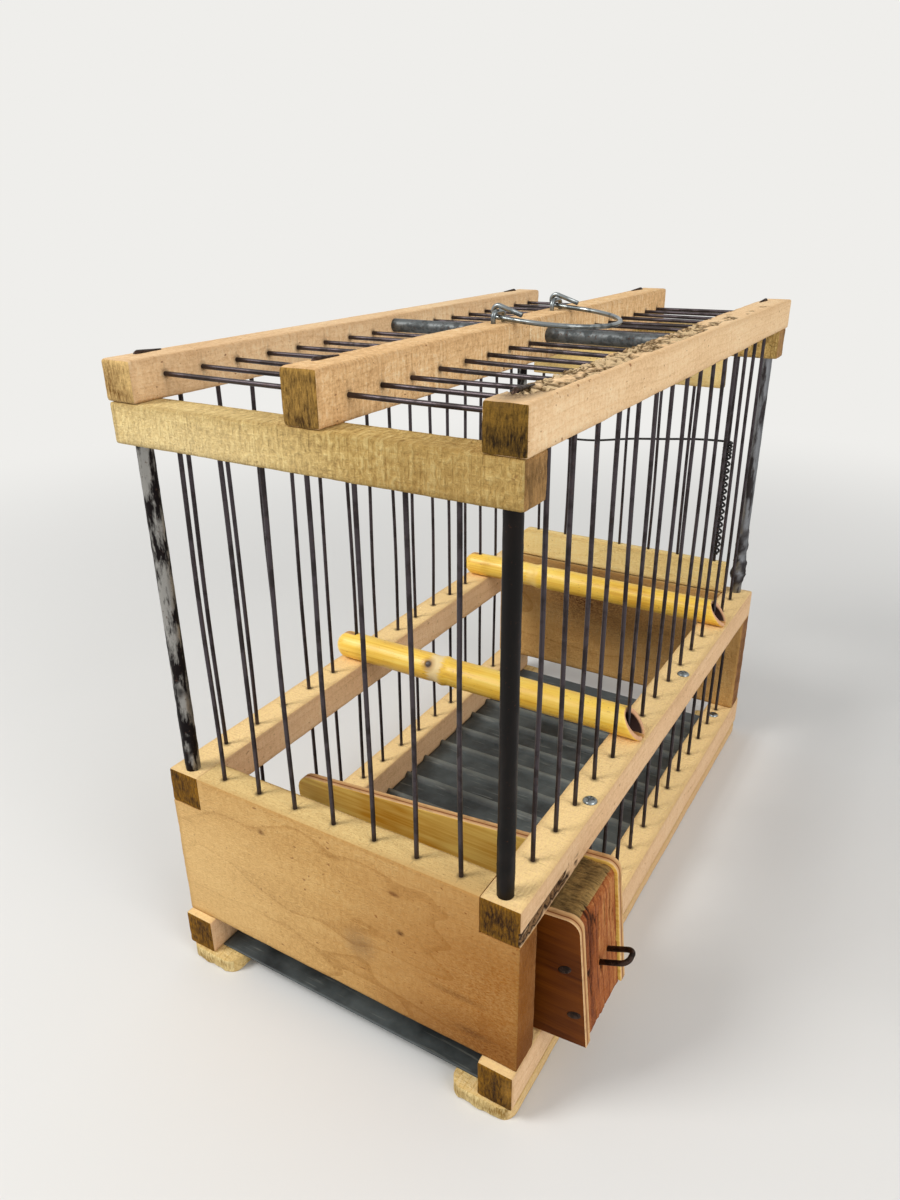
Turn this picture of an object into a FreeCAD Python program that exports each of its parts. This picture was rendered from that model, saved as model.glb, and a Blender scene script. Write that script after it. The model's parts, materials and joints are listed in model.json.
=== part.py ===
"""Small handmade bird cage of beech strips, steel wire and cane.

Millimetres, +Z up.  The origin is on the ground under the middle of the cage: X runs across it,
-Y is its front and +Y is its rear.  The drawer pulls out to +X.
"""
import FreeCAD, Part

import math
import os

V = FreeCAD.Vector

# Tools of the drawing itself
overrun = 2.0
wire_sides = 6
post_sides = 16

# Overall body
body_length = 282.0
body_width = 150.0

# Runners, the two strips that the cage stands on
runner_width = 25.0
runner_height = 6.0
runner_overhang = 4.0
runner_corner = 6.0
runner_edge = 1.2

# Lower rails, one on each runner
lower_rail_width = 13.4
lower_rail_height = 15.5
lower_rail_overhang = 3.0

# End boards
board_thickness = 12.5
board_height = 68.7
board_edge = 0.8
joint_gap = 0.15

# Mid rails, let into the top corners of both boards
mid_rail_side = 14.5

# Height of the wire screen between the mid rails and the crossbars
screen_height = 125.8

# Crossbars and top rails
crossbar_setback = 2.0
crossbar_depth = 12.8
crossbar_height = 13.4
crossbar_overhang = 1.2
top_rail_width = 12.9
top_rail_height = 13.3
top_rail_overhang = 0.3
top_rail_setback = 1.2
top_rail_edge = 1.0
middle_rail_height = 16.3
middle_rail_shift = 5.0

# Corner posts
post_radius = 2.75
post_end_inset = 5.0
post_side_inset = 8.0
post_foot_depth = 22.0
post_head_depth = 8.0

# Screen wires
wire_radius = 0.8
wire_clearance = 0.05
wire_seat_depth = 9.0
side_wire_pitch = 17.2
side_wire_start = 23.2
side_wire_end_margin = 15.0
side_wire_inset = 7.5
front_wire_pitch = 17.0
front_wire_side_margin = 5.0
top_wire_pitch = 16.1
top_wire_end_margin = 10.0
top_wire_rise = 7.6
cross_rod_radius = 2.75
cross_rod_rise = 9.1

# Nails and screws
nail_radius = 0.9
nail_head_radius = 2.2
nail_head_thickness = 0.7
clinch_length = 11.0
clinch_nail_side_shift = 3.2
clinch_nail_end_shift = 4.4
screw_head_radius = 2.7
screw_head_height = 1.1
screw_head_bevel = 0.6
screw_head_sides = 12
screw_radius = 1.4
screw_length = 12.0
screw_side_inset = 3.8
screw_starts = (61.8, 170.0)
low_screw_side_inset = 7.1
low_screw_rear_inset = 24.2
runner_nail_length = 34.0
runner_nail_side_inset = 8.0
runner_nail_end_inset = 6.0

# Floor tray of corrugated sheet
tray_thickness = 0.7
tray_ridge_height = 3.3
tray_ridge_pitch = 17.6
tray_ridge_foot = 7.0
tray_ridge_crest = 1.6
tray_side_clearance = 0.3
tray_bottom_clearance = 0.2
tray_front_setback = 2.0
tray_rear_setback = 5.0

# Seed drawer: it slides between the two right rails, and its inner end rests on the tray
drawer_front_clearance = 5.5
drawer_rest_gap = 0.2
drawer_depth = 36.7
drawer_height = 52.2
drawer_ply = 4.0
drawer_ply_proud = 1.0
drawer_outer_length = 30.5
drawer_inner_clearance = 8.2
drawer_block_start = 9.0
drawer_outer_corner = 4.5
drawer_inner_corner = 7.0
drawer_inner_block = 8.5
drawer_inner_block_height = 38.0
drawer_floor_thickness = 4.0
drawer_nail_length = 15.0
drawer_nail_head = 1.5
drawer_nail_low = 13.0
drawer_nail_spacing = 18.5
drawer_nail_inset = 3.8
drawer_nail_upper_setback = 2.4
pull_wire_radius = 1.0
pull_spacing = 7.0
pull_shift = 1.9
pull_reach = 10.0
pull_bend = 2.6
pull_seat = 7.0
pull_height = 22.5
pull_slope = 18.0

# Rear door, which swings on an upright wire
door_thickness = 5.0
door_inset = 7.0
door_gap = 0.6
door_bar_height = 16.5
door_bar_side_inset = 13.0
door_bar_corner = 6.0
door_head_height = 15.0
door_head_gap = 1.0
door_head_setback = 5.5
pivot_side_inset = 20.5
pivot_clearance = 0.08
door_wire_count = 6
cross_wire_radius = 0.5
cross_wire_sag = 9.5
coil_radius = 1.9
coil_tight_pitch = 1.8
coil_tight_turns = 4
coil_wide_pitch = 3.7
coil_wide_turns = 15
coil_ramp_turns = 0.25
coil_least_gap = 0.4
coil_foot_gap = 3.625

# Cane perches
cane_radius = 6.25
cane_bore_radius = 4.3
cane_lift = 0.3
cane_left_overhang = 1.0
cane_right_setback = 1.0
cane_node_bulge = 0.4
cane_node_width = 5.0
cane_node_wall = 2.0
cane_node_place = 47.0
cane_slot_clearance = 0.3
cane_cut_slope = 32.0
near_perch_front_count = 5
far_perch_rear_count = 2

# Carrying handle
staple_wire_radius = 0.9
staple_spacing = 8.0
staple_rise = 4.0
staple_bend = 2.0
staple_seat = 7.0
handle_centre = -4.0
handle_spacing = 50.0
bail_wire_radius = 0.9
bail_eye_clearance = 0.3
bail_eye_length = 9.5
bail_eye_gap = 0.25
bail_reach = 36.0
bail_dip = 3.2

# Levels and faces that follow from the sizes above
half_width = body_width / 2
half_length = body_length / 2
runner_top = runner_height
lower_rail_top = runner_top + lower_rail_height
board_top = lower_rail_top + board_height
mid_rail_bottom = board_top - mid_rail_side
crossbar_bottom = board_top + screen_height
crossbar_top = crossbar_bottom + crossbar_height
top_rail_top = crossbar_top + top_rail_height
middle_rail_top = crossbar_top + middle_rail_height
post_x = half_width - post_side_inset
post_y = half_length - post_end_inset
crossbar_y = half_length + crossbar_overhang - crossbar_depth / 2
top_rail_half_length = half_length + crossbar_overhang + top_rail_overhang
side_rail_x = half_width - top_rail_setback - top_rail_width / 2
side_wire_x = half_width - side_wire_inset
top_wire_z = crossbar_top + top_wire_rise
cross_rod_z = crossbar_top + cross_rod_rise
front_wire_y = crossbar_y
door_y = half_length - door_inset - door_thickness / 2
pivot_x = half_width - pivot_side_inset
lower_rail_inner = half_width - lower_rail_width
side_wire_seat = top_wire_rise - wire_radius * 2 - wire_clearance * 2
tray_bottom = runner_top + tray_bottom_clearance
tray_crest_top = tray_bottom + tray_ridge_height + tray_thickness
drawer_front = -half_length + board_thickness + drawer_front_clearance
drawer_back = drawer_front + drawer_depth
drawer_bottom = lower_rail_top + drawer_rest_gap
drawer_top = drawer_bottom + drawer_height
drawer_outer = lower_rail_inner + drawer_outer_length
drawer_inner = drawer_inner_clearance - lower_rail_inner
drawer_block_inner = lower_rail_inner + drawer_block_start
drawer_block_outer = drawer_outer - drawer_ply_proud
drawer_drop = drawer_bottom - tray_crest_top - drawer_rest_gap
drawer_tilt = math.degrees(math.asin(drawer_drop / (lower_rail_inner - drawer_inner)))
crown_z = middle_rail_top + staple_rise
eye_radius = staple_wire_radius + bail_eye_clearance + bail_wire_radius


def places(start, stop, pitch):
    """Even steps from start, as many as fit before stop."""
    count = int(math.floor((stop - start) / pitch)) + 1
    return [start + pitch * step for step in range(count)]


def mirrored_places(limit, pitch):
    """Even steps each way from the middle, and one in the middle."""
    count = int(math.floor(limit / pitch))
    return [pitch * step for step in range(-count, count + 1)]


side_wire_places = places(
    side_wire_start - half_length, half_length - side_wire_end_margin, side_wire_pitch
)
front_wire_places = mirrored_places(
    half_width - mid_rail_side - front_wire_side_margin, front_wire_pitch
)
top_wire_places = mirrored_places(top_rail_half_length - top_wire_end_margin, top_wire_pitch)
door_wire_places = front_wire_places[:door_wire_count]


def block(low, high):
    """Box between two opposite corners."""
    size = high.sub(low)
    return Part.makeBox(size.x, size.y, size.z, low)


def rod(start, end, radius):
    """Round bar from one point to another."""
    along = end.sub(start)
    return Part.makeCylinder(radius, along.Length, start, along)


def prism(start, end, radius, sides=wire_sides):
    """Straight bar with flat sides that a circle of the given radius just touches."""
    along = end.sub(start)
    corner = radius / math.cos(math.pi / sides)
    turn = FreeCAD.Rotation(V(0, 0, 1), along)
    ring = []
    for step in range(sides + 1):
        angle = 2 * math.pi * step / sides
        ring.append(start.add(turn.multVec(V(corner * math.cos(angle), corner * math.sin(angle), 0))))
    return Part.Face(Part.makePolygon(ring)).extrude(along)


def wire_hole(start, end, radius=wire_radius):
    """Hole for a wire: it has the wire's few sides, because the cage has so many."""
    return prism(start, end, radius + wire_clearance)


def edges_along(shape, direction):
    """Edges that run along one axis."""
    found = []
    for edge in shape.Edges:
        along = edge.tangentAt(edge.FirstParameter)
        if abs(along.dot(direction)) > math.cos(math.radians(1)):
            found.append(edge)
    return found


def eased(shape, width, direction):
    """Take the sharp corners off the long edges of a strip."""
    return shape.makeChamfer(width, edges_along(shape, direction))


def wire_profile(centre, normal, radius, sides=wire_sides):
    """Section of a bent wire, with the few flat sides that all the thin wires have."""
    turn = FreeCAD.Rotation(V(0, 0, 1), normal)
    ring = []
    for step in range(sides + 1):
        angle = 2 * math.pi * step / sides
        ring.append(centre.add(turn.multVec(V(radius * math.cos(angle), radius * math.sin(angle), 0))))
    return Part.makePolygon(ring)


def bent_path(points, radius):
    """Straight runs through the points, with an arc of one radius at each corner between them."""
    edges = []
    here = points[0]
    for before, corner, after in zip(points, points[1:], points[2:]):
        back = before.sub(corner).normalize()
        ahead = after.sub(corner).normalize()
        half_angle = back.getAngle(ahead) / 2
        trim = radius / math.tan(half_angle)
        middle = back.add(ahead).normalize()
        to_arc = radius / math.sin(half_angle) - radius
        arc_start = corner.add(back * trim)
        arc_end = corner.add(ahead * trim)
        edges.append(Part.LineSegment(here, arc_start).toShape())
        edges.append(Part.Arc(arc_start, corner.add(middle * to_arc), arc_end).toShape())
        here = arc_end
    edges.append(Part.LineSegment(here, points[-1]).toShape())
    return edges


def swept(edges, profile):
    """Solid wire along a path of straight runs and arcs."""
    return Part.Wire(edges).makePipeShell([profile], True, False)


def bent_wire(points, bend, radius):
    """Round wire through the points, bent at each corner."""
    profile = wire_profile(points[0], points[1].sub(points[0]), radius)
    return swept(bent_path(points, bend), profile)


def save(name, *solids):
    """Write one node, which may hold several separate solids."""
    shape = solids[0] if len(solids) == 1 else Part.makeCompound(list(solids))
    shape.exportStep("parts/%s.step" % name)
    print(name, len(shape.Solids), "solid(s)", round(shape.Volume), "mm3", "valid", shape.isValid())


def side_name(side):
    return "right" if side > 0 else "left"


def end_name(end):
    return "rear" if end > 0 else "front"


# Holes that several timbers share
def side_wire_holes(side, low, high, wires):
    x = side * side_wire_x
    return [wire_hole(V(x, y, low), V(x, y, high)) for y in wires]


def drawer_wires(side):
    """Side wires that stop in the mid rail, because the drawer slides below them."""
    limit = drawer_back + wire_radius
    return [y for y in side_wire_places if side > 0 and y < limit]


def full_side_wires(side):
    short = drawer_wires(side)
    return [y for y in side_wire_places if y not in short]


def post_hole(side, end, low, high):
    start = V(side * post_x, end * post_y, low)
    return prism(start, V(start.x, start.y, high), post_radius + wire_clearance, post_sides)


# Base: runners, lower rails and their nails
def runner(side):
    outer = half_width + joint_gap
    inner = outer - runner_width
    reach = half_length + runner_overhang
    low = V(min(side * inner, side * outer), -reach, 0)
    high = V(max(side * inner, side * outer), reach, runner_height)
    shape = block(low, high)
    rim = [edge for edge in edges_along(shape, V(0, 1, 0)) if edge.BoundBox.ZMin > runner_height / 2]
    shape = shape.makeChamfer(runner_edge, rim)
    shape = shape.makeFillet(runner_corner, edges_along(shape, V(0, 0, 1)))
    for point in runner_nail_points(side):
        shape = shape.cut(nail_cut(point, V(point.x, point.y, runner_nail_length)))
    return shape


def runner_nail_points(side):
    x = side * (half_width - runner_nail_side_inset)
    ends = half_length - runner_nail_end_inset
    middle = side_wire_pitch / 2 + side_wire_places[len(side_wire_places) // 2]
    return [V(x, -ends, 0), V(x, middle, 0), V(x, ends, 0)]


def nail(head, tip, head_radius=nail_head_radius):
    """Straight nail with a flat head."""
    along = tip.sub(head).normalize()
    neck = head.add(along * nail_head_thickness)
    return prism(neck, tip, nail_radius).fuse(prism(head, neck, head_radius)).removeSplitter()


def nail_cut(head, tip, head_radius=nail_head_radius):
    """Room for a nail and its sunk head."""
    along = tip.sub(head).normalize()
    before = head.sub(along * overrun)
    neck = head.add(along * (nail_head_thickness + wire_clearance))
    end = tip.add(along * wire_clearance)
    shank = prism(before, end, nail_radius + wire_clearance)
    return shank.fuse(prism(before, neck, head_radius + wire_clearance))


def runner_nail_length_at(point):
    """End nails reach up into the boards, and the middle one stops in the lower rail."""
    at_end = abs(point.y) > half_length - board_thickness
    return runner_nail_length if at_end else lower_rail_height


def runner_nails():
    nails = []
    for side in (-1, 1):
        for point in runner_nail_points(side):
            head = V(point.x, point.y, wire_clearance)
            tip = V(point.x, point.y, runner_nail_length_at(point))
            nails.append(nail(head, tip))
    return nails


def lower_rail(side):
    reach = half_length + lower_rail_overhang
    xs = sorted((side * lower_rail_inner, side * half_width))
    shape = block(V(xs[0], -reach, runner_top), V(xs[1], reach, lower_rail_top))
    shape = eased(shape, board_edge, V(0, 1, 0))
    seat = lower_rail_top - wire_seat_depth
    cuts = side_wire_holes(side, seat - wire_clearance, lower_rail_top + overrun, full_side_wires(side))
    for point in runner_nail_points(side):
        top = V(point.x, point.y, runner_nail_length_at(point) + wire_clearance)
        cuts.append(prism(V(point.x, point.y, 0), top, nail_radius + wire_clearance))
    if side > 0:
        cuts.append(screw_bore(low_screw_point()))
    return shape.cut(cuts)


# Boards and mid rails
def end_board(end):
    faces = sorted((end * half_length, end * (half_length - board_thickness)))
    shape = block(V(-half_width, faces[0], lower_rail_top), V(half_width, faces[1], board_top))
    shape = eased(shape, board_edge, V(0, 0, 1))
    cuts = []
    for side in (-1, 1):
        notch_inner = half_width - mid_rail_side - joint_gap
        xs = sorted((side * notch_inner, side * (half_width + overrun)))
        low = V(xs[0], faces[0] - overrun, mid_rail_bottom - joint_gap)
        cuts.append(block(low, V(xs[1], faces[1] + overrun, board_top + overrun)))
        cuts.append(post_hole(side, end, board_top - post_foot_depth - joint_gap, board_top))
        nail_x = side * (half_width - runner_nail_side_inset)
        nail_y = end * (half_length - runner_nail_end_inset)
        low = V(nail_x, nail_y, lower_rail_top - overrun)
        high = V(nail_x, nail_y, runner_nail_length + wire_clearance)
        cuts.append(prism(low, high, nail_radius + wire_clearance))
    if end < 0:
        for x in front_wire_places:
            low = V(x, -front_wire_y, board_top - wire_seat_depth - wire_clearance)
            cuts.append(wire_hole(low, V(x, -front_wire_y, board_top + overrun)))
    else:
        low = V(pivot_x, door_y, board_top - wire_seat_depth - wire_clearance)
        cuts.append(wire_hole(low, V(pivot_x, door_y, board_top + overrun)))
    return shape.cut(cuts)


def mid_rail(side):
    xs = sorted((side * (half_width - mid_rail_side), side * half_width))
    shape = block(V(xs[0], -half_length, mid_rail_bottom), V(xs[1], half_length, board_top))
    shape = eased(shape, board_edge, V(0, 1, 0))
    low = mid_rail_bottom - overrun
    high = board_top + overrun
    cuts = side_wire_holes(side, low, high, full_side_wires(side))
    seat = board_top - wire_seat_depth - wire_clearance
    cuts.extend(side_wire_holes(side, seat, high, drawer_wires(side)))
    for end in (-1, 1):
        cuts.append(post_hole(side, end, low, high))
    if side > 0:
        cuts.extend([screw_bore(point) for point in screw_points()])
    return shape.cut(cuts)


def screw_points():
    x = half_width - screw_side_inset
    return [V(x, start - half_length, board_top) for start in screw_starts]


def low_screw_point():
    return V(half_width - low_screw_side_inset, half_length - low_screw_rear_inset, lower_rail_top)


def screw_bore(point):
    return prism(point, V(point.x, point.y, point.z - screw_length), screw_radius + wire_clearance)


def screw(point):
    """Screw with a low bevelled head on a plain shank."""
    top = V(point.x, point.y, point.z + screw_head_height)
    head = prism(point, top, screw_head_radius, screw_head_sides)
    rim = [edge for edge in head.Edges if edge.BoundBox.ZMin > point.z + screw_head_height / 2]
    head = head.makeChamfer(screw_head_bevel, rim)
    shank = prism(V(point.x, point.y, point.z - screw_length + wire_clearance), point, screw_radius)
    return head.fuse(shank).removeSplitter()


def corner_post(side, end):
    foot = V(side * post_x, end * post_y, board_top - post_foot_depth)
    return prism(foot, V(foot.x, foot.y, crossbar_top + post_head_depth), post_radius, post_sides)


# Upper frame: crossbars, top rails, rod and clinched nails
def crossbar(end):
    half = half_width - crossbar_setback
    ys = sorted((end * (crossbar_y - crossbar_depth / 2), end * (crossbar_y + crossbar_depth / 2)))
    shape = block(V(-half, ys[0], crossbar_bottom), V(half, ys[1], crossbar_top))
    shape = eased(shape, board_edge, V(1, 0, 0))
    low = crossbar_bottom - overrun
    cuts = [post_hole(side, end, low, crossbar_top + overrun) for side in (-1, 1)]
    seat = crossbar_bottom + wire_seat_depth + wire_clearance
    if end < 0:
        for x in front_wire_places:
            cuts.append(wire_hole(V(x, -front_wire_y, low), V(x, -front_wire_y, seat)))
    else:
        cuts.append(wire_hole(V(pivot_x, door_y, low), V(pivot_x, door_y, seat)))
    for x in (-side_rail_x, middle_rail_shift, side_rail_x):
        foot = clinch_foot(x, end)
        cuts.append(nail_cut(foot, V(foot.x, foot.y, crossbar_top + overrun)))
    return shape.cut(cuts)


def clinch_foot(rail_x, end):
    """Head of the nail that ties a top rail to a crossbar, under the crossbar and beside the post."""
    return V(rail_x - clinch_nail_side_shift, end * (crossbar_y - clinch_nail_end_shift), crossbar_bottom)


def top_rail(rail_x, height):
    reach = top_rail_half_length
    xs = (rail_x - top_rail_width / 2, rail_x + top_rail_width / 2)
    shape = block(V(xs[0], -reach, crossbar_top), V(xs[1], reach, crossbar_top + height))
    shape = eased(shape, top_rail_edge, V(0, 1, 0))
    side = (rail_x > side_rail_x / 2) - (rail_x < -side_rail_x / 2)
    cuts = []
    inner_x = side * (side_rail_x - top_rail_width / 2)
    bore_start = inner_x - side * overrun if side else xs[0] - overrun
    bore_end = inner_x + side * (wire_seat_depth + wire_clearance) if side else xs[1] + overrun
    for y in top_wire_places:
        if y:
            cuts.append(wire_hole(V(bore_start, y, top_wire_z), V(bore_end, y, top_wire_z)))
    rod_start = V(bore_start, 0, cross_rod_z)
    rod_end = V(bore_end, 0, cross_rod_z)
    cuts.append(prism(rod_start, rod_end, cross_rod_radius + wire_clearance, post_sides))
    if side:
        low = crossbar_top - overrun
        seat = crossbar_top + side_wire_seat + wire_clearance
        cuts.extend(side_wire_holes(side, low, seat, side_wire_places))
        for end in (-1, 1):
            cuts.append(post_hole(side, end, low, crossbar_top + post_head_depth + joint_gap))
    else:
        cuts.extend(staple_holes())
    for end in (-1, 1):
        foot = clinch_foot(rail_x, end)
        top = V(foot.x, foot.y, crossbar_top + height + overrun)
        cuts.append(prism(V(foot.x, foot.y, crossbar_top - overrun), top, nail_radius + wire_clearance))
    return shape.cut(cuts)


def clinched_nail(rail_x, height, end):
    """Nail driven up through a crossbar and a top rail, and hammered over along the rail."""
    foot = clinch_foot(rail_x, end)
    knee = V(foot.x, foot.y, crossbar_top + height + wire_clearance + nail_radius)
    head = V(foot.x, foot.y, foot.z + wire_clearance)
    shank = nail(head, V(foot.x, foot.y, knee.z + nail_radius))
    tip = V(foot.x, foot.y - end * clinch_length, knee.z)
    return shank.fuse(prism(knee, tip, nail_radius)).removeSplitter()


def cross_rod():
    reach = side_rail_x - top_rail_width / 2 + wire_seat_depth
    return prism(V(-reach, 0, cross_rod_z), V(reach, 0, cross_rod_z), cross_rod_radius, post_sides)


# Screen wires
def front_wires():
    low = board_top - wire_seat_depth
    high = crossbar_bottom + wire_seat_depth
    return [prism(V(x, -front_wire_y, low), V(x, -front_wire_y, high), wire_radius) for x in front_wire_places]


def side_wires(side):
    x = side * side_wire_x
    top = crossbar_top + side_wire_seat
    short = drawer_wires(side)
    wires = []
    for y in side_wire_places:
        foot = board_top if y in short else lower_rail_top
        wires.append(prism(V(x, y, foot - wire_seat_depth), V(x, y, top), wire_radius))
    return wires


def top_wires():
    reach = side_rail_x - top_rail_width / 2 + wire_seat_depth
    wires = []
    for y in top_wire_places:
        if y:
            wires.append(prism(V(-reach, y, top_wire_z), V(reach, y, top_wire_z), wire_radius))
    return wires


def door_pivot_wire():
    low = V(pivot_x, door_y, board_top - wire_seat_depth)
    return rod(low, V(pivot_x, door_y, crossbar_bottom + wire_seat_depth), wire_radius)


# Floor tray
def floor_tray():
    front = -half_length + tray_front_setback
    back = half_length - tray_rear_setback
    middle = (front + back) / 2
    ridges = mirrored_places((back - front) / 2 - tray_ridge_foot, tray_ridge_pitch)
    foot = tray_ridge_foot / 2
    crest = tray_ridge_crest / 2
    line = [(front, 0)]
    for ridge in ridges:
        y = middle + ridge
        line.append((y - foot, 0))
        line.append((y - crest, tray_ridge_height))
        line.append((y + crest, tray_ridge_height))
        line.append((y + foot, 0))
    line.append((back, 0))
    half = lower_rail_inner - tray_side_clearance
    under = [V(-half, y, tray_bottom + z) for y, z in line]
    over = [V(-half, y, tray_bottom + z + tray_thickness) for y, z in reversed(line)]
    outline = Part.makePolygon(under + over + [under[0]])
    return Part.Face(outline).extrude(V(2 * half, 0, 0))


# Seed drawer: its pieces are drawn level and then tilted together
def seated(shape):
    """Tilt a drawer piece about the inner edge of the lower rail, until the inner end meets the tray."""
    shape.rotate(V(lower_rail_inner, 0, drawer_bottom), V(0, -1, 0), drawer_tilt)
    return shape


def upper_edges(shape, low_x, high_x):
    """Edges that run across the drawer, along the top of a piece, between two x places."""
    found = []
    for edge in shape.Edges:
        box = edge.BoundBox
        across = box.YLength > drawer_ply / 2 and box.ZMin > drawer_bottom + drawer_height / 2
        if across and low_x < box.XMin and box.XMax < high_x:
            found.append(edge)
    return found


def drawer_side(low_y):
    """Plywood side with both upper corners rounded."""
    low = V(drawer_inner, low_y, drawer_bottom)
    shape = block(low, V(drawer_outer, low_y + drawer_ply, drawer_top))
    middle = (drawer_inner + drawer_outer) / 2
    inner_edges = upper_edges(shape, drawer_inner - overrun, middle)
    shape = shape.makeFillet(drawer_inner_corner, inner_edges)
    outer_edges = upper_edges(shape, middle, drawer_outer + overrun)
    shape = shape.makeFillet(drawer_outer_corner, outer_edges)
    return shape.cut(drawer_nail_cuts())


def drawer_nail_lines():
    """Head and tip of each nail through a plywood side into an end block."""
    lines = []
    inner_x = drawer_inner + drawer_inner_block / 2
    for level in range(2):
        z = drawer_bottom + drawer_nail_low + level * drawer_nail_spacing
        outer_x = drawer_outer - drawer_nail_inset - level * drawer_nail_upper_setback
        for x in (outer_x, inner_x):
            front = V(x, drawer_front, z)
            lines.append((front, V(x, drawer_front + drawer_nail_length, z)))
            back = V(x, drawer_back, z)
            lines.append((back, V(x, drawer_back - drawer_nail_length, z)))
    return lines


def drawer_nails():
    return [nail(head, tip, drawer_nail_head) for head, tip in drawer_nail_lines()]


def drawer_nail_cuts():
    return [nail_cut(head, tip, drawer_nail_head) for head, tip in drawer_nail_lines()]


def drawer_outer_block():
    low = V(drawer_block_inner, drawer_front + drawer_ply, drawer_bottom)
    high = V(drawer_block_outer, drawer_back - drawer_ply, drawer_top - drawer_ply_proud)
    shape = block(low, high)
    corner = upper_edges(shape, drawer_block_inner + overrun, drawer_block_outer + overrun)
    shape = shape.makeFillet(drawer_outer_corner, corner)
    cuts = drawer_nail_cuts()
    for y in pull_leg_places():
        seat, tip = pull_leg(y, pull_seat + wire_clearance)
        cuts.append(prism(seat, tip, pull_wire_radius + wire_clearance))
    return shape.cut(cuts)


def drawer_inner_block_shape():
    low = V(drawer_inner, drawer_front + drawer_ply, drawer_bottom + drawer_floor_thickness)
    top = drawer_bottom + drawer_inner_block_height
    shape = block(low, V(drawer_inner + drawer_inner_block, drawer_back - drawer_ply, top))
    return shape.cut(drawer_nail_cuts())


def drawer_floor():
    low = V(drawer_inner, drawer_front + drawer_ply, drawer_bottom)
    return block(low, V(drawer_block_inner, drawer_back - drawer_ply, drawer_bottom + drawer_floor_thickness))


def pull_leg_places():
    middle = (drawer_front + drawer_back) / 2 + pull_shift
    return (middle - pull_spacing / 2, middle + pull_spacing / 2)


def pull_leg(y, seat_depth):
    """Two ends of one leg of the pull, which slopes up as it comes out of the block."""
    rise = math.tan(math.radians(pull_slope))
    z = drawer_bottom + pull_height
    seat = V(drawer_block_outer - seat_depth, y, z - seat_depth * rise)
    return seat, V(drawer_block_outer + pull_reach, y, z + pull_reach * rise)


def drawer_pull():
    near, far = pull_leg_places()
    near_seat, near_tip = pull_leg(near, pull_seat)
    far_seat, far_tip = pull_leg(far, pull_seat)
    return bent_wire([near_seat, near_tip, far_tip, far_seat], pull_bend, pull_wire_radius)


# Rear door
def door_hole(x, low, high):
    return wire_hole(V(x, door_y, low), V(x, door_y, high))


def door_bottom_bar():
    half = half_width - door_bar_side_inset
    bottom = board_top + door_gap
    low = V(-half, door_y - door_thickness / 2, bottom)
    shape = block(low, V(half, door_y + door_thickness / 2, bottom + door_bar_height))
    corner = []
    for edge in shape.Edges:
        box = edge.BoundBox
        if box.XMax < -half / 2 and box.ZMin > bottom + door_bar_height / 2 and box.YLength > door_thickness / 2:
            corner.append(edge)
    shape = shape.makeFillet(door_bar_corner, corner)
    top = bottom + door_bar_height
    seat = top - wire_seat_depth - wire_clearance
    cuts = [door_hole(x, seat, top + overrun) for x in door_wire_places]
    start = V(pivot_x, door_y, bottom - overrun)
    cuts.append(rod(start, V(pivot_x, door_y, top + overrun), wire_radius + pivot_clearance))
    return shape.cut(cuts)


def door_head_bar():
    top = crossbar_bottom - door_head_gap
    bottom = top - door_head_height
    low = V(door_wire_places[0] - door_head_setback, door_y - door_thickness / 2, bottom)
    high = V(pivot_x - door_head_setback, door_y + door_thickness / 2, top)
    shape = block(low, high)
    seat = bottom + wire_seat_depth + wire_clearance
    return shape.cut([door_hole(x, bottom - overrun, seat) for x in door_wire_places])


def door_wires():
    low = board_top + door_gap + door_bar_height - wire_seat_depth
    high = crossbar_bottom - door_head_gap - door_head_height + wire_seat_depth
    return [prism(V(x, door_y, low), V(x, door_y, high), wire_radius) for x in door_wire_places]


def coil_drop(turns):
    """How far the coil has come down after some turns: level at first, tight, then open, then level."""
    ramp = coil_ramp_turns
    total = coil_tight_turns + coil_wide_turns
    if turns <= ramp:
        return coil_tight_pitch * turns ** 2 / (2 * ramp)
    drop = coil_tight_pitch * (min(turns, coil_tight_turns) - ramp / 2)
    if turns <= coil_tight_turns:
        return drop
    extra = coil_wide_pitch - coil_tight_pitch
    past = min(turns, coil_tight_turns + ramp) - coil_tight_turns
    drop += coil_tight_pitch * past + extra * past ** 2 / (2 * ramp)
    if turns <= coil_tight_turns + ramp:
        return drop
    drop += coil_wide_pitch * (min(turns, total - ramp) - coil_tight_turns - ramp)
    if turns <= total - ramp:
        return drop
    last = turns - (total - ramp)
    return drop + coil_wide_pitch * (last - last ** 2 / (2 * ramp))


def coil_point(turns, top):
    """Point and direction on the coil: it starts on the outer side of the pivot, heading to +X."""
    angle = math.pi / 2 - 2 * math.pi * turns
    step = coil_ramp_turns / 100
    before = coil_drop(max(turns - step, 0))
    after = coil_drop(min(turns + step, coil_tight_turns + coil_wide_turns))
    width = min(turns + step, coil_tight_turns + coil_wide_turns) - max(turns - step, 0)
    around = 2 * math.pi * coil_radius
    fall = (after - before) / width
    if turns in (0, coil_tight_turns + coil_wide_turns):
        fall = 0
    point = V(pivot_x + coil_radius * math.cos(angle), door_y + coil_radius * math.sin(angle), top - coil_drop(turns))
    heading = V(around * math.sin(angle), -around * math.cos(angle), -fall)
    return point, heading.normalize()


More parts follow.
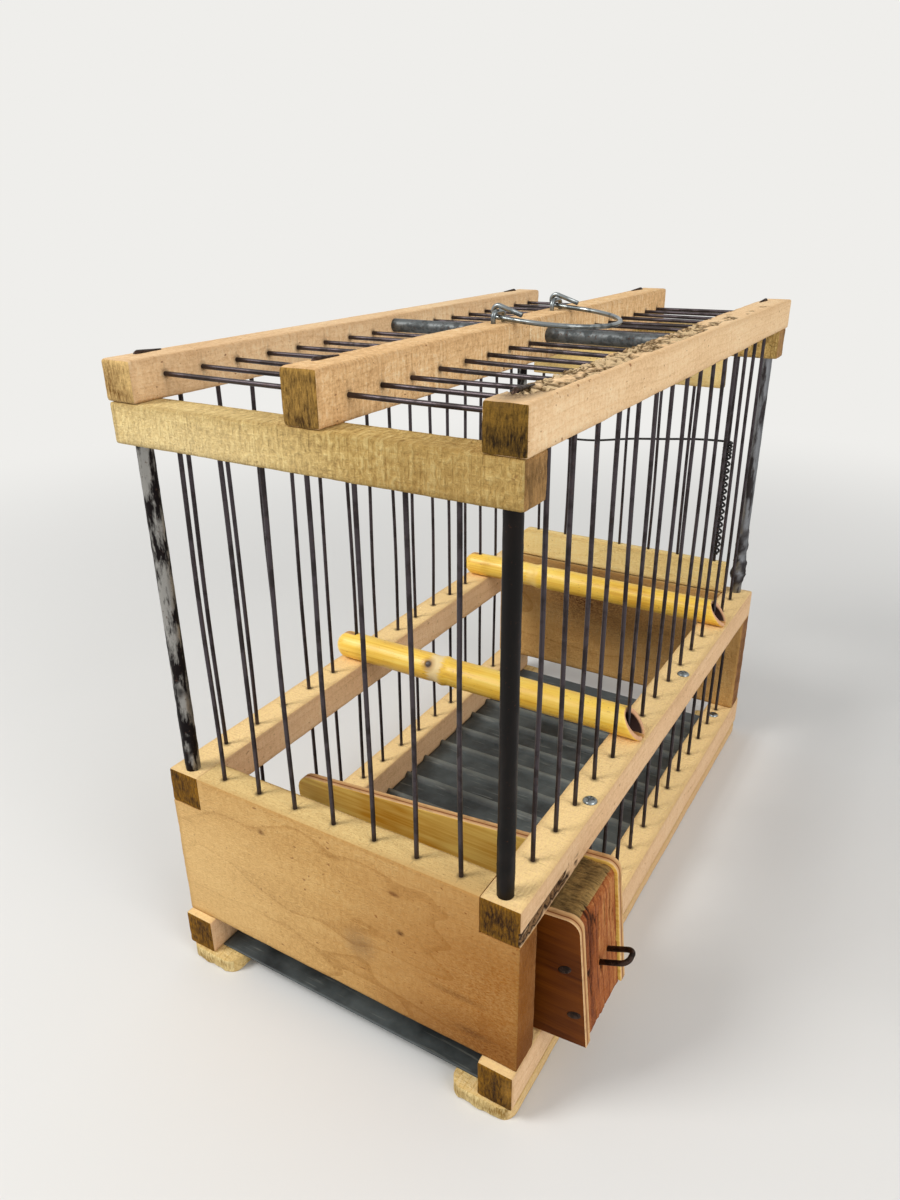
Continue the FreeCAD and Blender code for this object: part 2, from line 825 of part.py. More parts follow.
def biarc(start, start_heading, end, end_heading):
    """Two arcs that join two points and leave each along its heading."""
    chord = end.sub(start)
    both = start_heading.add(end_heading)
    cosine = start_heading.dot(end_heading)
    b = chord.dot(both)
    a = 2 * (1 - cosine)
    if a < 1e-9:
        reach = chord.dot(chord) / (2 * b)
    else:
        reach = (-b + math.sqrt(b * b + a * chord.dot(chord))) / a
    first = start.add(start_heading * reach)
    second = end.sub(end_heading * reach)
    joint = first.add(second) * 0.5
    arcs = []
    for p, corner, q in ((start, first, joint), (joint, second, end)):
        turn = corner.sub(p).getAngle(q.sub(corner))
        share = math.cos(turn / 2) / (1 + math.cos(turn / 2))
        middle = p.add(q) * 0.5
        arcs.append(Part.Arc(p, middle.add(corner.sub(middle) * share), q).toShape())
    return arcs


def door_cross_wire():
    """Wire hooked round the first door wire, run across the others and wound down the pivot wire."""
    first_x = door_wire_places[0]
    turns = coil_tight_turns + coil_wide_turns
    high = board_top + door_gap + door_bar_height + coil_foot_gap + coil_drop(turns)
    low = high - cross_wire_sag
    outer = door_y + coil_radius
    inner = door_y - coil_radius
    tail = 2 * cross_wire_radius
    start = V(first_x + tail, inner, low)
    hook_start = V(first_x, inner, low)
    hook_side = V(first_x - coil_radius, door_y, low)
    hook_end = V(first_x, outer, low)
    run_start = V(first_x + tail, outer, low)
    coil_start = V(pivot_x, outer, high)
    edges = [
        Part.LineSegment(start, hook_start).toShape(),
        Part.Arc(hook_start, hook_side, hook_end).toShape(),
        Part.LineSegment(hook_end, run_start).toShape(),
    ]
    ahead = V(1, 0, 0)
    edges.extend(biarc(run_start, ahead, coil_start, ahead))
    quarters = 4 * turns
    for quarter in range(quarters):
        here, heading = coil_point(quarter / 4, high)
        there, next_heading = coil_point((quarter + 1) / 4, high)
        edges.extend(biarc(here, heading, there, next_heading))
    end, heading = coil_point(quarters / 4, high)
    edges.append(Part.LineSegment(end, end.add(heading * tail)).toShape())
    print("coil: least gap to itself", round(coil_gap(high), 2), "mm; wanted over", coil_least_gap)
    profile = wire_profile(start, V(-1, 0, 0), cross_wire_radius)
    return swept(edges, profile)


def coil_gap(top):
    """Least clear space between turns, on points 12 to a turn, against the wire that comes in too."""
    per_turn = 12
    total = per_turn * (coil_tight_turns + coil_wide_turns)
    points = [coil_point(step / per_turn, top)[0] for step in range(total + 1)]
    outer = door_y + coil_radius
    lead = [V(pivot_x - coil_radius * step / 4, outer, top) for step in range(1, 5)]
    least = points[0].distanceToPoint(points[-1])
    for i, point in enumerate(points):
        for other in points[i + per_turn // 2:]:
            least = min(least, point.distanceToPoint(other))
        if i > per_turn // 2:
            least = min([least] + [point.distanceToPoint(other) for other in lead])
    return least - 2 * cross_wire_radius


# Perches
def perch(y):
    """Hollow cane with one node, slotted at the left to straddle its wire and cut slanting at the right."""
    z = board_top + cane_lift + cane_radius
    left = -half_width - cane_left_overhang
    right = half_width - cane_right_setback
    node = left + cane_node_place
    half = cane_node_width / 2
    top = cane_radius + cane_node_bulge
    points = [V(left, 0, 0), V(left, 0, cane_radius), V(node - half, 0, cane_radius), V(node, 0, top)]
    points += [V(node + half, 0, cane_radius), V(right, 0, cane_radius), V(right, 0, 0), V(left, 0, 0)]
    cane = Part.Face(Part.makePolygon(points)).revolve(V(0, 0, 0), V(1, 0, 0), 360)
    wall = cane_node_wall / 2
    cane = cane.cut(rod(V(left - overrun, 0, 0), V(node - wall, 0, 0), cane_bore_radius))
    cane = cane.cut(rod(V(node + wall, 0, 0), V(right + overrun, 0, 0), cane_bore_radius))
    cane.translate(V(0, y, z))
    cuts = [perch_slot(-1, left, y, z), perch_slot(1, right, y, z), slant_cut(right, y, z)]
    return cane.cut(cuts)


def perch_slot(side, tip, y, z):
    """Sawn slot from the end of the cane to just past the wire that it straddles."""
    half = wire_radius + cane_slot_clearance
    reach = cane_radius + overrun
    xs = sorted((side * (side_wire_x - half), tip + side * overrun))
    return block(V(xs[0], y - half, z - reach), V(xs[1], y + half, z + reach))


def slant_cut(right, y, z):
    """Slanting cut that takes more off the top of the cane than off its bottom."""
    rise = 2 * cane_radius
    run = rise * math.tan(math.radians(cane_cut_slope))
    low = V(right, y - 2 * cane_radius, z - cane_radius)
    high = V(right - run, y - 2 * cane_radius, z + cane_radius)
    up = high.sub(low)
    ring = [low.sub(up), high.add(up), V(right + 2 * rise, high.y, high.add(up).z)]
    ring.append(V(right + 2 * rise, low.y, low.sub(up).z))
    ring.append(ring[0])
    return Part.Face(Part.makePolygon(ring)).extrude(V(0, 4 * cane_radius, 0))


# Carrying handle
def handle_places():
    return (handle_centre - handle_spacing / 2, handle_centre + handle_spacing / 2)


def staple_leg_places():
    half = staple_spacing / 2
    return [y + shift for y in handle_places() for shift in (-half, half)]


def staple_holes():
    cuts = []
    for y in staple_leg_places():
        top = V(middle_rail_shift, y, middle_rail_top + overrun)
        seat = V(middle_rail_shift, y, middle_rail_top - staple_seat - wire_clearance)
        cuts.append(prism(seat, top, staple_wire_radius + wire_clearance))
    return cuts


def handle_staple(y):
    half = staple_spacing / 2
    foot = middle_rail_top - staple_seat
    x = middle_rail_shift
    points = [V(x, y - half, foot), V(x, y - half, crown_z), V(x, y + half, crown_z), V(x, y + half, foot)]
    return bent_wire(points, staple_bend, staple_wire_radius)


def handle_bail():
    """Half-round bail whose ends turn back over the staples as long closed eyes."""
    front, back = handle_places()
    dip = math.asin(bail_dip / bail_reach)
    turn = FreeCAD.Rotation(V(0, 1, 0), math.degrees(dip))

    def at(u, y, v):
        point = turn.multVec(V(u, 0, v))
        return V(middle_rail_shift + point.x, y, crown_z + point.z)

    end_v = -eye_radius + 2 * bail_wire_radius + bail_eye_gap
    lean = math.atan2(end_v, bail_eye_length)
    open_angle = math.acos(eye_radius / math.hypot(bail_eye_length, end_v))
    touch = lean + open_angle
    half = handle_spacing / 2
    straight = bail_reach - half

    def eye(y):
        first = at(bail_eye_length, y, end_v)
        arc_start = at(eye_radius * math.cos(touch), y, eye_radius * math.sin(touch))
        half_way = (touch + 3 * math.pi / 2) / 2
        arc_middle = at(eye_radius * math.cos(half_way), y, eye_radius * math.sin(half_way))
        arc_end = at(0, y, -eye_radius)
        return [(first, arc_start), (arc_start, arc_middle, arc_end), (arc_end, at(straight, y, -eye_radius))]

    steps = eye(front)
    quarter = half * math.sin(math.radians(45))
    centre_y = (front + back) / 2
    tip = at(straight + half, centre_y, -eye_radius)
    near = at(straight + quarter, centre_y - quarter, -eye_radius)
    far = at(straight + quarter, centre_y + quarter, -eye_radius)
    steps.append((at(straight, front, -eye_radius), near, tip))
    steps.append((tip, far, at(straight, back, -eye_radius)))
    steps.extend([tuple(reversed(step)) for step in reversed(eye(back))])
    edges = []
    for step in steps:
        curve = Part.LineSegment(*step) if len(step) == 2 else Part.Arc(*step)
        edges.append(curve.toShape())
    profile = wire_profile(steps[0][0], steps[0][1].sub(steps[0][0]), bail_wire_radius)
    return swept(edges, profile)


def main():
    os.makedirs("parts", exist_ok=True)
    for side in (-1, 1):
        name = side_name(side)
        save("runner_%s" % name, runner(side))
        save("lower_rail_%s" % name, lower_rail(side))
        save("mid_rail_%s" % name, mid_rail(side))
        save("side_wires_%s" % name, *side_wires(side))
        for end in (-1, 1):
            save("corner_post_%s_%s" % (end_name(end), name), corner_post(side, end))
    for end in (-1, 1):
        save("%s_board" % end_name(end), end_board(end))
        save("%s_crossbar" % end_name(end), crossbar(end))
    rails = (("left", -side_rail_x, top_rail_height), ("middle", middle_rail_shift, middle_rail_height))
    rails += (("right", side_rail_x, top_rail_height),)
    nails = []
    for name, rail_x, height in rails:
        save("top_rail_%s" % name, top_rail(rail_x, height))
        nails.extend([clinched_nail(rail_x, height, end) for end in (-1, 1)])
    save("top_rail_nails", *nails)
    save("runner_nails", *runner_nails())
    save("rail_screws", *[screw(point) for point in screw_points() + [low_screw_point()]])
    save("cross_rod", cross_rod())
    save("front_wires", *front_wires())
    save("top_wires", *top_wires())
    save("door_pivot_wire", door_pivot_wire())
    save("floor_tray", floor_tray())
    print("drawer tilt", round(drawer_tilt, 3), "degrees")
    save("drawer_front_side", seated(drawer_side(drawer_front)))
    save("drawer_rear_side", seated(drawer_side(drawer_back - drawer_ply)))
    save("drawer_outer_block", seated(drawer_outer_block()))
    save("drawer_inner_block", seated(drawer_inner_block_shape()))
    save("drawer_floor", seated(drawer_floor()))
    save("drawer_nails", *[seated(piece) for piece in drawer_nails()])
    save("drawer_pull", seated(drawer_pull()))
    save("door_bottom_bar", door_bottom_bar())
    save("door_head_bar", door_head_bar())
    save("door_wires", *door_wires())
    save("door_cross_wire", door_cross_wire())
    save("near_perch", perch(side_wire_places[near_perch_front_count]))
    save("far_perch", perch(side_wire_places[-1 - far_perch_rear_count]))
    for name, y in zip(("front", "rear"), handle_places()):
        save("handle_staple_%s" % name, handle_staple(y))
    save("handle_bail", handle_bail())


main()
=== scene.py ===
# %% [markdown]
# # A small handmade bird cage
#
# The cage is a box of pale beech strips with a screen of steel wires, a seed drawer, two cane
# perches, a sheet floor tray and a wire door.  Its solids come in from CAD, so this notebook is
# about looks: timber that was sawn and nailed by hand, wires that aren't quite straight, and
# finishes with the grain, rust and dirt that such a cage gathers.

import json
import math
import random
from functools import partial

import bmesh
import bpy
from mathutils import Euler, Matrix, Vector, noise


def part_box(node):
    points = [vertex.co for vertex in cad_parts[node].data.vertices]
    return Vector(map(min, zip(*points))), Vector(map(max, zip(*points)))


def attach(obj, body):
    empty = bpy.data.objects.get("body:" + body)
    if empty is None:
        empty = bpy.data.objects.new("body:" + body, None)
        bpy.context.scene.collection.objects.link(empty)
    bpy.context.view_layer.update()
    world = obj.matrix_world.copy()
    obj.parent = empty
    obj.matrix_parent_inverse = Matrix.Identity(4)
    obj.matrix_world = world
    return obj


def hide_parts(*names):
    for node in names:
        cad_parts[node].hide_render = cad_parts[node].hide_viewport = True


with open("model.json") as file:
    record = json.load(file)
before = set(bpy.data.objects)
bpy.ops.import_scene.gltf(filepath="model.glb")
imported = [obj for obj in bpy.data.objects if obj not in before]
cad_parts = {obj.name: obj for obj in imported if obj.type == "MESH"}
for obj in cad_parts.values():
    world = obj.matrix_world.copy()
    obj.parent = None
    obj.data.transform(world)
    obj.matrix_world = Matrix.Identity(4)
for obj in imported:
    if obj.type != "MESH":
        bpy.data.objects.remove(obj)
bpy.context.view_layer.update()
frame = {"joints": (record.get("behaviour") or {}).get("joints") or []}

# %% [markdown]
# ## Small tools for nodes
#
# Colours are given as the hex codes that a paint program shows, and Blender wants linear light, so
# one function converts them.  A second one adds a node to any tree, with its settings and its
# links, and everything below is built with it.  In each finish, `add` is that function for the
# finish's own tree, and `coat` fills the sockets of its shader.

# %% Colour and node helpers
MM = 0.001


def linear(code):
    """A hex colour such as c8a878 as linear light."""
    parts = [int(code[i:i + 2], 16) / 255 for i in (0, 2, 4)]
    return [p / 12.92 if p <= 0.04045 else ((p + 0.055) / 1.055) ** 2.4 for p in parts] + [1.0]


def fill(tree, node, *values, **named):
    """Fill inputs of a node, in order or by name. A node as a value stands for its first output in use."""
    for key, value in (*enumerate(values), *named.items()):
        socket = node.inputs[key.replace("_", " ") if isinstance(key, str) else key]
        if isinstance(value, bpy.types.Node):
            value = next(output for output in value.outputs if output.enabled)
        if isinstance(value, bpy.types.NodeSocket):
            tree.links.new(value, socket)
        else:
            socket.default_value = value


def add_node(tree, kind, *values, **named):
    """Add a node. kind is its type and, after a space, its operation.

    Names with a capital, such as Scale, are its inputs, and the other names are its settings."""
    kind, _, operation = kind.partition(" ")
    family = next(f for f in ("ShaderNode", "GeometryNode", "Node") if hasattr(bpy.types, f + kind))
    node = tree.nodes.new(family + kind)
    if operation:
        node.operation = operation
    for name in [name for name in named if name[0].islower()]:
        setattr(node, name, named.pop(name))
    fill(tree, node, *values, **named)
    return node


def new_material(name):
    """An empty material, a way to add its nodes, and a way to fill its shader's sockets."""
    material = bpy.data.materials.new(name)
    material.use_nodes = True
    tree = material.node_tree
    return material, partial(add_node, tree), partial(fill, tree, tree.nodes["Principled BSDF"])


def set_stops(ramp, places, tones):
    """Give a colour ramp its stops: places from 0 to 1, and hex colours."""
    stops = ramp.color_ramp.elements
    for place in places[2:]:
        stops.new(place)
    for stop, place, tone in zip(stops, places, tones):
        stop.position, stop.color = place, linear(tone)
    return ramp


print("linear beech", [round(c, 3) for c in linear("dcb878")])

# %% [markdown]
# ## Camera
#
# The photograph was taken from above the front right corner, close enough that the cage narrows
# towards the back.  The place, turn and lens were worked out from the corners of the cage, so the
# camera is simply put there.  Its picture is 900 wide and 1200 high, and the sensor's 36 mm run
# along the longer side.

# %% Camera at the photograph's place
FOCAL_PIXELS, PICTURE_HEIGHT, SENSOR_MM = 877.56, 1200, 36.0
camera_data = bpy.data.cameras.new("camera")
camera_data.sensor_fit = "AUTO"
camera_data.sensor_width = SENSOR_MM
camera_data.lens = FOCAL_PIXELS / PICTURE_HEIGHT * SENSOR_MM
camera_data.clip_start = 0.01
camera = bpy.data.objects.new("camera", camera_data)
camera.location = (0.16242, -0.32459, 0.28324)
camera.rotation_euler = Euler([math.radians(a) for a in (66.08, 0.52, 31.01)], "XYZ")
bpy.context.scene.collection.objects.link(camera)
bpy.context.scene.camera = camera
print("lens", round(camera_data.lens, 2), "mm")

# %% [markdown]
# ## Bare timber
#
# Every strip of the cage is unfinished hardwood, sawn and never sanded.  Close up it shows slow
# bands of the growth rings, long fibres, short ticks that the saw left across the grain, nubs of
# torn fibre, and brown flecks.  The end grain is much darker, because it soaks up dirt.
#
# One function builds such a finish, and each kind of strip gets its own colours and strengths.
# The pattern reads the object's coordinates in millimetres, turned so that the grain runs along X.
# The meshes made below carry attributes that the finish also reads: `end` is 1 on sawn ends, `top`
# on upper faces, `edge` along the corners, and `torn` where the surface is ripped.
#
# Real fibres are finer than a pixel of the picture, so they are drawn about a millimetre wide.

# %% Patterns in the wood
def turned_to_grain(add, grain, shift=(0, 0, 0)):
    """Object coordinates in millimetres, turned so that the grain runs along X."""
    turns = {"X": (0, 0, 0), "Y": (0, 0, -math.pi / 2), "Z": (0, math.pi / 2, 0)}
    return add("Mapping", add("TexCoord").outputs["Object"], shift, turns[grain], (1 / MM, 1 / MM, 1 / MM))


def stretched_noise(add, along, scale, detail=3.0, roughness=0.55, warp=0.0):
    """Noise whose grains are 1/scale millimetres long on each axis."""
    mapped = add("Mapping", along, Scale=scale)
    return add("TexNoise", mapped, Scale=1.0, Detail=detail, Roughness=roughness, Distortion=warp)


def growth_rings(add, along, ring_mm, pith, wander):
    """0 to 1 and sharply back, once for each growth ring round a wandering pith line."""
    slow = add("Mapping", along, Scale=(0.011, 0.03, 0.03))
    drift = add("TexNoise", slow, Scale=1.0, Detail=2.0).outputs["Color"]
    pulled = add("VectorMath MULTIPLY_ADD", drift, (wander, wander, wander), along)
    reach = add("VectorMath DISTANCE", add("VectorMath MULTIPLY", pulled, (0, 1, 1)), pith)
    return add("Math FRACT", add("Math DIVIDE", reach, ring_mm))


def wire_marks(add, row):
    """1 in a dark ring round each wire of a row, and on a short dark line across each hole.

    Wires that stand mark the upper faces. Wires that lie mark the faces within a distance of X = 0."""
    split = add("SeparateXYZ", add("TexCoord").outputs["Object"]).outputs
    steps = add("Math DIVIDE", add("Math SUBTRACT", split[row["run"]], row["start"]), row["pitch"])
    off = add("Math MULTIPLY", add("Math SUBTRACT", steps, add("Math ROUND", steps)), row["pitch"])
    cross = split[row["cross"]]
    if row["mirrored"]:
        cross = add("Math ABSOLUTE", cross)
    reach = add("VectorMath LENGTH", add("CombineXYZ", off, add("Math SUBTRACT", cross, row["at"])))
    ring = add("MapRange", reach, 0.7 * MM, 2.3 * MM, 1.0, 0.0, interpolation_type="SMOOTHSTEP")
    line = add("MapRange", add("Math ABSOLUTE", off), 0.1 * MM, 0.4 * MM, 0.4, 0.0)
    line = add("Math MULTIPLY", line, add("MapRange", reach, 2.5 * MM, 5.0 * MM, 1.0, 0.0))
    if "inside" in row:
        face = add("Math LESS_THAN", add("Math ABSOLUTE", split[0]), row["inside"])
    else:
        face = add("Attribute", attribute_name="top").outputs["Fac"]
    return add("Math MULTIPLY", add("Math MAXIMUM", ring, line), face)


def fading_spot(add, place, centre, radius):
    """1 at a point of the object, in millimetres, fading to 0 at a radius."""
    reach = add("VectorMath SUBTRACT", place, [c * MM for c in centre])
    reach = add("VectorMath MULTIPLY", reach, [1 / (r * MM) for r in radius])
    return add("MapRange", add("VectorMath LENGTH", reach), 0.25, 1.0, 1.0, 0.0)


print("wood patterns ready")

# %% Timber finish
FLECK, HOLE_MARK_TONE = linear("74401f"), linear("4a3a2c")


def timber(name, tones, ends, grain, ring_mm=4.0, pith=(0, 25, 60), wander=26.0, rings=0.1, late=0.75,
           fibre=0.25, ticks=0.2, tick_mm=1.0, lumps=0.25, blotch=0.35, flecks=0.5, rows=(), stains_and_shades=(),
           rough=0.8, rips=("4d3b24", "b99a68"), upper=None, shift=(0, 0, 0)):
    """Sawn timber: tones are dark, middle and light, and ends are the dark and pale of its end grain.

    late is where the dark late wood of each ring starts, upper is a paler colour painted on upper faces as
    light from above, rips are the colours of torn places, the first painting shade where they are deep and
    the second lighter, on the raised chips, and the other numbers are strengths of layers."""
    material, add, coat = new_material(name)
    along = turned_to_grain(add, grain, shift)
    place = add("TexCoord").outputs["Object"]
    edge, end, top, torn = [add("Attribute", attribute_name=mark).outputs["Fac"]
                            for mark in ("edge", "end", "top", "torn")]
    fibres = stretched_noise(add, along, (0.05, 1.1, 1.1), 5.0, 0.62)
    fuzz = stretched_noise(add, along, (0.9, 1.7, 1.7), 3.0, 0.7)
    saw = stretched_noise(add, along, (1 / tick_mm, 0.045, 0.045), 3.0, 0.6, 0.15)
    cloud = stretched_noise(add, along, (0.018, 0.05, 0.05), 3.0, 0.55)
    nubs = stretched_noise(add, along, (0.75, 0.4, 0.4), 3.0, 0.65, 0.5)

    def laid_over(colour, share, tone):
        return add("MixRGB", share, colour, linear(tone) if isinstance(tone, str) else tone)

    # The sawn face: rings, then each layer adds its strength round a middle of 0.5
    ring = growth_rings(add, along, ring_mm, pith, wander)
    dark_ring = add("MapRange", ring, late, 0.97, interpolation_type="SMOOTHSTEP")
    total = add("Math MULTIPLY_ADD", ring, -0.25 * rings, 0.52 + rings * 0.2)
    total = add("Math MULTIPLY_ADD", dark_ring, -rings, total)
    patchy = add("MapRange", cloud, 0.35, 0.65, 0.2, 1.5)
    for layer, strength in ((fibres, fibre), (fuzz, 0.45), (saw, ticks), (nubs, lumps), (cloud, blotch)):
        share = add("Math SUBTRACT", layer, 0.5)
        if layer == saw:
            share = add("Math MULTIPLY", share, patchy)
        total = add("Math MULTIPLY_ADD", share, strength, total)
    colour = set_stops(add("ValToRGB", total), (0.18, 0.52, 0.82), tones)
    specks = stretched_noise(add, along, (0.45, 0.7, 0.7), 1.0, 0.4)
    colour = laid_over(colour, add("MapRange", specks, 0.73, 0.79, 0.0, flecks), FLECK)

    # The end grain, paler along its rim
    pores = stretched_noise(add, along, (0.02, 1.3, 0.3), 4.0, 0.75)
    soak = stretched_noise(add, along, (0.012, 0.07, 0.1), 2.0, 0.5)
    pores = add("Math MULTIPLY_ADD", soak, 0.65, add("Math ADD", pores, -0.32))
    pale = add("Math MULTIPLY_ADD", edge, 0.1, pores)
    colour = laid_over(colour, end, set_stops(add("ValToRGB", pale), (0.34, 0.72), ends))

    # Upper faces paler as painted light from above, then stains and patches of painted light and shade, wire
    # marks and rubbed corners
    if upper:
        paler_share = add("Math MULTIPLY", top, fuzz)
        colour = laid_over(colour, add("Math MULTIPLY", paler_share, 1.5, use_clamp=True), upper)
    # Each listed patch darkens or lightens the wood round a point: real stains, cracks and knots, and patches
    # of painted light and shade.
    for centre, radius, strength, tone in stains_and_shades:
        spot = add("Math MULTIPLY", fading_spot(add, place, centre, radius), fuzz)
        colour = laid_over(colour, add("Math MULTIPLY", spot, strength * 1.7, use_clamp=True), tone)
    for row in rows:
        mark = add("Math MULTIPLY", wire_marks(add, row), cloud)
        colour = laid_over(colour, add("Math MULTIPLY", mark, row["strength"] * 2, use_clamp=True), HOLE_MARK_TONE)
    rubbed = add("Math MULTIPLY", edge, cloud)
    along_side = add("MapRange", end, 0.0, 1.0, 0.7, 0.0)
    colour = laid_over(colour, add("Math MULTIPLY", rubbed, along_side, use_clamp=True), tones[0])

    # Ripped places: painted shade where they are deep and painted highlight on the raised chips
    rip = stretched_noise(add, along, (0.75, 0.2, 0.4), 5.0, 0.75, 0.6)
    rip = add("Math ADD", rip, add("MapRange", torn, 0.55, 1.0, -0.12, 0.16))
    torn = add("MapRange", torn, 0.1, 0.5)
    colour = laid_over(colour, torn, set_stops(add("ValToRGB", rip), (0.4, 0.58), rips))

    height = add("Math ADD", fibres, fuzz)
    height = add("Math MULTIPLY_ADD", saw, ticks * 4.5, height)
    height = add("Math MULTIPLY_ADD", nubs, lumps * 3.5, height)
    ripped = add("Math MULTIPLY", add("Math ADD", rip, pores), 2.5)
    height = add("Math MULTIPLY_ADD", add("Math ADD", end, torn), ripped, height)
    bump = add("Bump", Height=height, Strength=0.7, Distance=0.6 * MM)
    coat(Base_Color=colour, Normal=bump, Roughness=rough, Specular_IOR_Level=0.15)
    return material


print("timber finish ready")

# %% [markdown]
# Round the rows of wires the wood is darker: a ring round each hole and a short line across it.
# Their places come from the boxes of the wire nodes, so the marks stay under the wires.

# %% Where the wires stand
SIDE_COUNT, DRAWER_COUNT, FRONT_COUNT, TOP_HALF_COUNT, DOOR_COUNT = 15, 2, 7, 8, 6
WIRE_R = 0.8 * MM


def wire_row(node, axis, count):
    """Start and pitch of a row of wires that stand along one axis, from the box of its node."""
    low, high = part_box(node)
    return {"start": low[axis] + WIRE_R, "pitch": (high[axis] - low[axis] - 2 * WIRE_R) / (count - 1)}


def middle_of(node):
    low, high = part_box(node)
    return (low + high) / 2


side_row = wire_row("side_wires_left", 1, SIDE_COUNT)
front_row = wire_row("front_wires", 0, FRONT_COUNT)
top_row = wire_row("top_wires", 1, 2 * TOP_HALF_COUNT + 1)
side_x, front_y = middle_of("side_wires_right").x, middle_of("front_wires").y
side_marks = dict(side_row, run=1, cross=0, at=side_x, mirrored=True, strength=0.65)
front_marks = dict(front_row, run=0, cross=1, at=front_y, mirrored=False, strength=0.55)
top_marks = dict(top_row, run=1, cross=2, at=middle_of("top_wires").z, mirrored=False, strength=0.6,
                 inside=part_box("top_rail_right")[0].x + 1 * MM)
print("pitches", [round(row["pitch"] / MM, 2) for row in (side_row, front_row, top_row)], "mm")

# %% [markdown]
# Beech and poplar strips differ from piece to piece.  The rails are pinkish and fine, the boards
# are tan with large slow figures, paler to the left of the front as painted light and darker towards
# the lower right corner, the crossbars are yellow with coarse saw marks, and the runners are pale and
# rough.  The drawer's outer block is an old reddish piece with its grain upright.  Stains, and patches
# of painted light and shade, are each a place, a reach, a strength and a colour.

# %% Materials of the rails, boards, runners and crossbars
rail_x, rail_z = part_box("mid_rail_right")[1].x / MM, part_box("mid_rail_right")[0].z / MM
end_x, end_z = middle_of("lower_rail_right").x / MM, middle_of("lower_rail_right").z / MM
rail_wood = timber(
    "beech_rail_sawn", ("b48a5c", "e6c096", "f6dcb6"), ("2c1603", "966818"), "Y", ring_mm=3.4, wander=14.0,
    # The upper tone paints light from above on the rails' upper faces.
    rings=0.05, fibre=0.14, ticks=0.2, upper="fbdc9c", rows=(side_marks,), rips=("38271a", "8e6c4a"),
    stains_and_shades=(((rail_x, -118, rail_z + 7), (4, 40, 9), 0.12, "7c5638"),
            ((-66, 60, 80), (30, 30, 20), 0.2, "8a6a48"),
            ((end_x, -145, end_z), (1.1, 4, 9), 1.0, "26140a"),
            ((end_x + 5, -145, end_z + 1), (3, 4, 8), 0.5, "c08e3e")))
board_wood = timber(
    "poplar_board_sawn", ("9c7038", "c99e61", "dfbb7e"), ("6e4424", "ae7e50"), "X", ring_mm=17.0,
    pith=(0, 30, 70), wander=70.0, rings=0.12, late=0.9, fibre=0.14, ticks=0.1, lumps=0.4, blotch=0.45,
    # The upper tone paints light from above on the boards' upper faces.
    flecks=0.7, rows=(front_marks,), upper="e8cc8e", shift=(30, 0, 0),
    # Paler towards the left of the front board: a painted pool of light. Darker towards its lower right.
    stains_and_shades=(((-84, -141, 46), (90, 20, 60), 0.45, "f2d094"), ((84, -141, 46), (95, 20, 70), 0.85, "92560e"),
            ((70, -141, 22), (60, 20, 20), 0.75, "703c06"), ((93, -136, 22), (7, 20, 30), 0.9, "4a2208"),
            ((12, -141, 46), (9, 12, 9), 0.45, "6f5640"), ((30, -141, 60), (2.2, 9, 1.6), 0.9, "5a3413"),
            ((-30, -141, 78), (2.2, 9, 1.6), 0.8, "5b3213"), ((28, -141, 76), (3, 9, 1.3), 0.9, "6b3c16"),
            ((58, -141, 30), (9, 9, 2.5), 0.6, "5f3814"), ((52, -141, 44), (16, 9, 2.0), 0.45, "6b4218"),
            # On the inside of the rear board, darkest near its top: painted shadow of the perch and the door
            # bar.
            ((-15, 131, 72), (60, 12, 34), 1.0, "4e2a0e"), ((30, 131, 55), (60, 12, 45), 0.6, "5e482c")))
runner_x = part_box("runner_right")[1].x / MM
runner_wood = timber(
    "pine_runner_chopped", ("ac8646", "e6c888", "f8e4b4"), ("9c7838", "f2da9e"), "Y", ring_mm=2.6, rings=0.12,
    fibre=0.35, ticks=0.2, lumps=0.5, flecks=0.25, stains_and_shades=(((runner_x, 60, 2), (4, 300, 9), 0.9, "dcb48c"),))
crossbar_wood = timber(
    "poplar_crossbar_sawn", ("8a6c38", "cbaa68", "f0d896"), ("5a3e20", "c09460"), "X", ring_mm=5.0,
    wander=12.0, rings=0.04, fibre=0.25, ticks=0.7, tick_mm=0.9, lumps=1.0, blotch=0.4, flecks=0.4,
    # Paler towards the left of the crossbar: painted light. Darker towards its right.
    stains_and_shades=(((50, -139, 214), (46, 20, 30), 0.6, "94723c"), ((-48, -139, 214), (75, 20, 30), 0.6, "fbe6b0"),
            ((77, -139, 214), (6, 1.3, 16), 1.0, "2c1c0e"), ((77, -136, 206), (5, 0.6, 9), 0.9, "3a2613")))
print("rail, board, runner and crossbar timber")

# %% Materials of the top rails, door and drawer
nail_x, nail_z = middle_of("top_rail_right").x / MM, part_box("top_rail_right")[1].z / MM
top_woods = {}
for side, tones, ends, ticks, lumps in (
        ("left", ("b2875a", "e6c398", "f6e2bc"), ("7c5828", "e4c080"), 0.35, 0.4),
        # The middle rail's tones are brighter than its neighbours' to paint light into the shade it sits in.
        ("middle", ("aa7e4e", "ebc28e", "fee8c0"), ("40290c", "b48c46"), 0.7, 0.6),
        ("right", ("b88e5e", "ebc89c", "fae8c4"), ("241604", "8e6a28"), 0.2, 0.3)):
    top_woods[side] = timber(
        "beech_top_rail_" + side, tones, ends, "Y", ring_mm=3.6, wander=14.0, rings=0.05, fibre=0.12,
        # The dark rip colour is painted shade in the deep chips, the pale one painted highlight on raised
        # chips.
        ticks=ticks, tick_mm=1.4, lumps=lumps, flecks=0.8, rows=(top_marks,), rips=("6a5232", "e2c69c"),
        # The dark patch round the front nail is partly an iron stain and partly painted shade round the bent
        # nail.
        stains_and_shades=(((nail_x - 1, -132, nail_z), (7, 15, 4), 0.95, "4e3e2c"),),
        shift=(40, len(top_woods) * 37, 0))
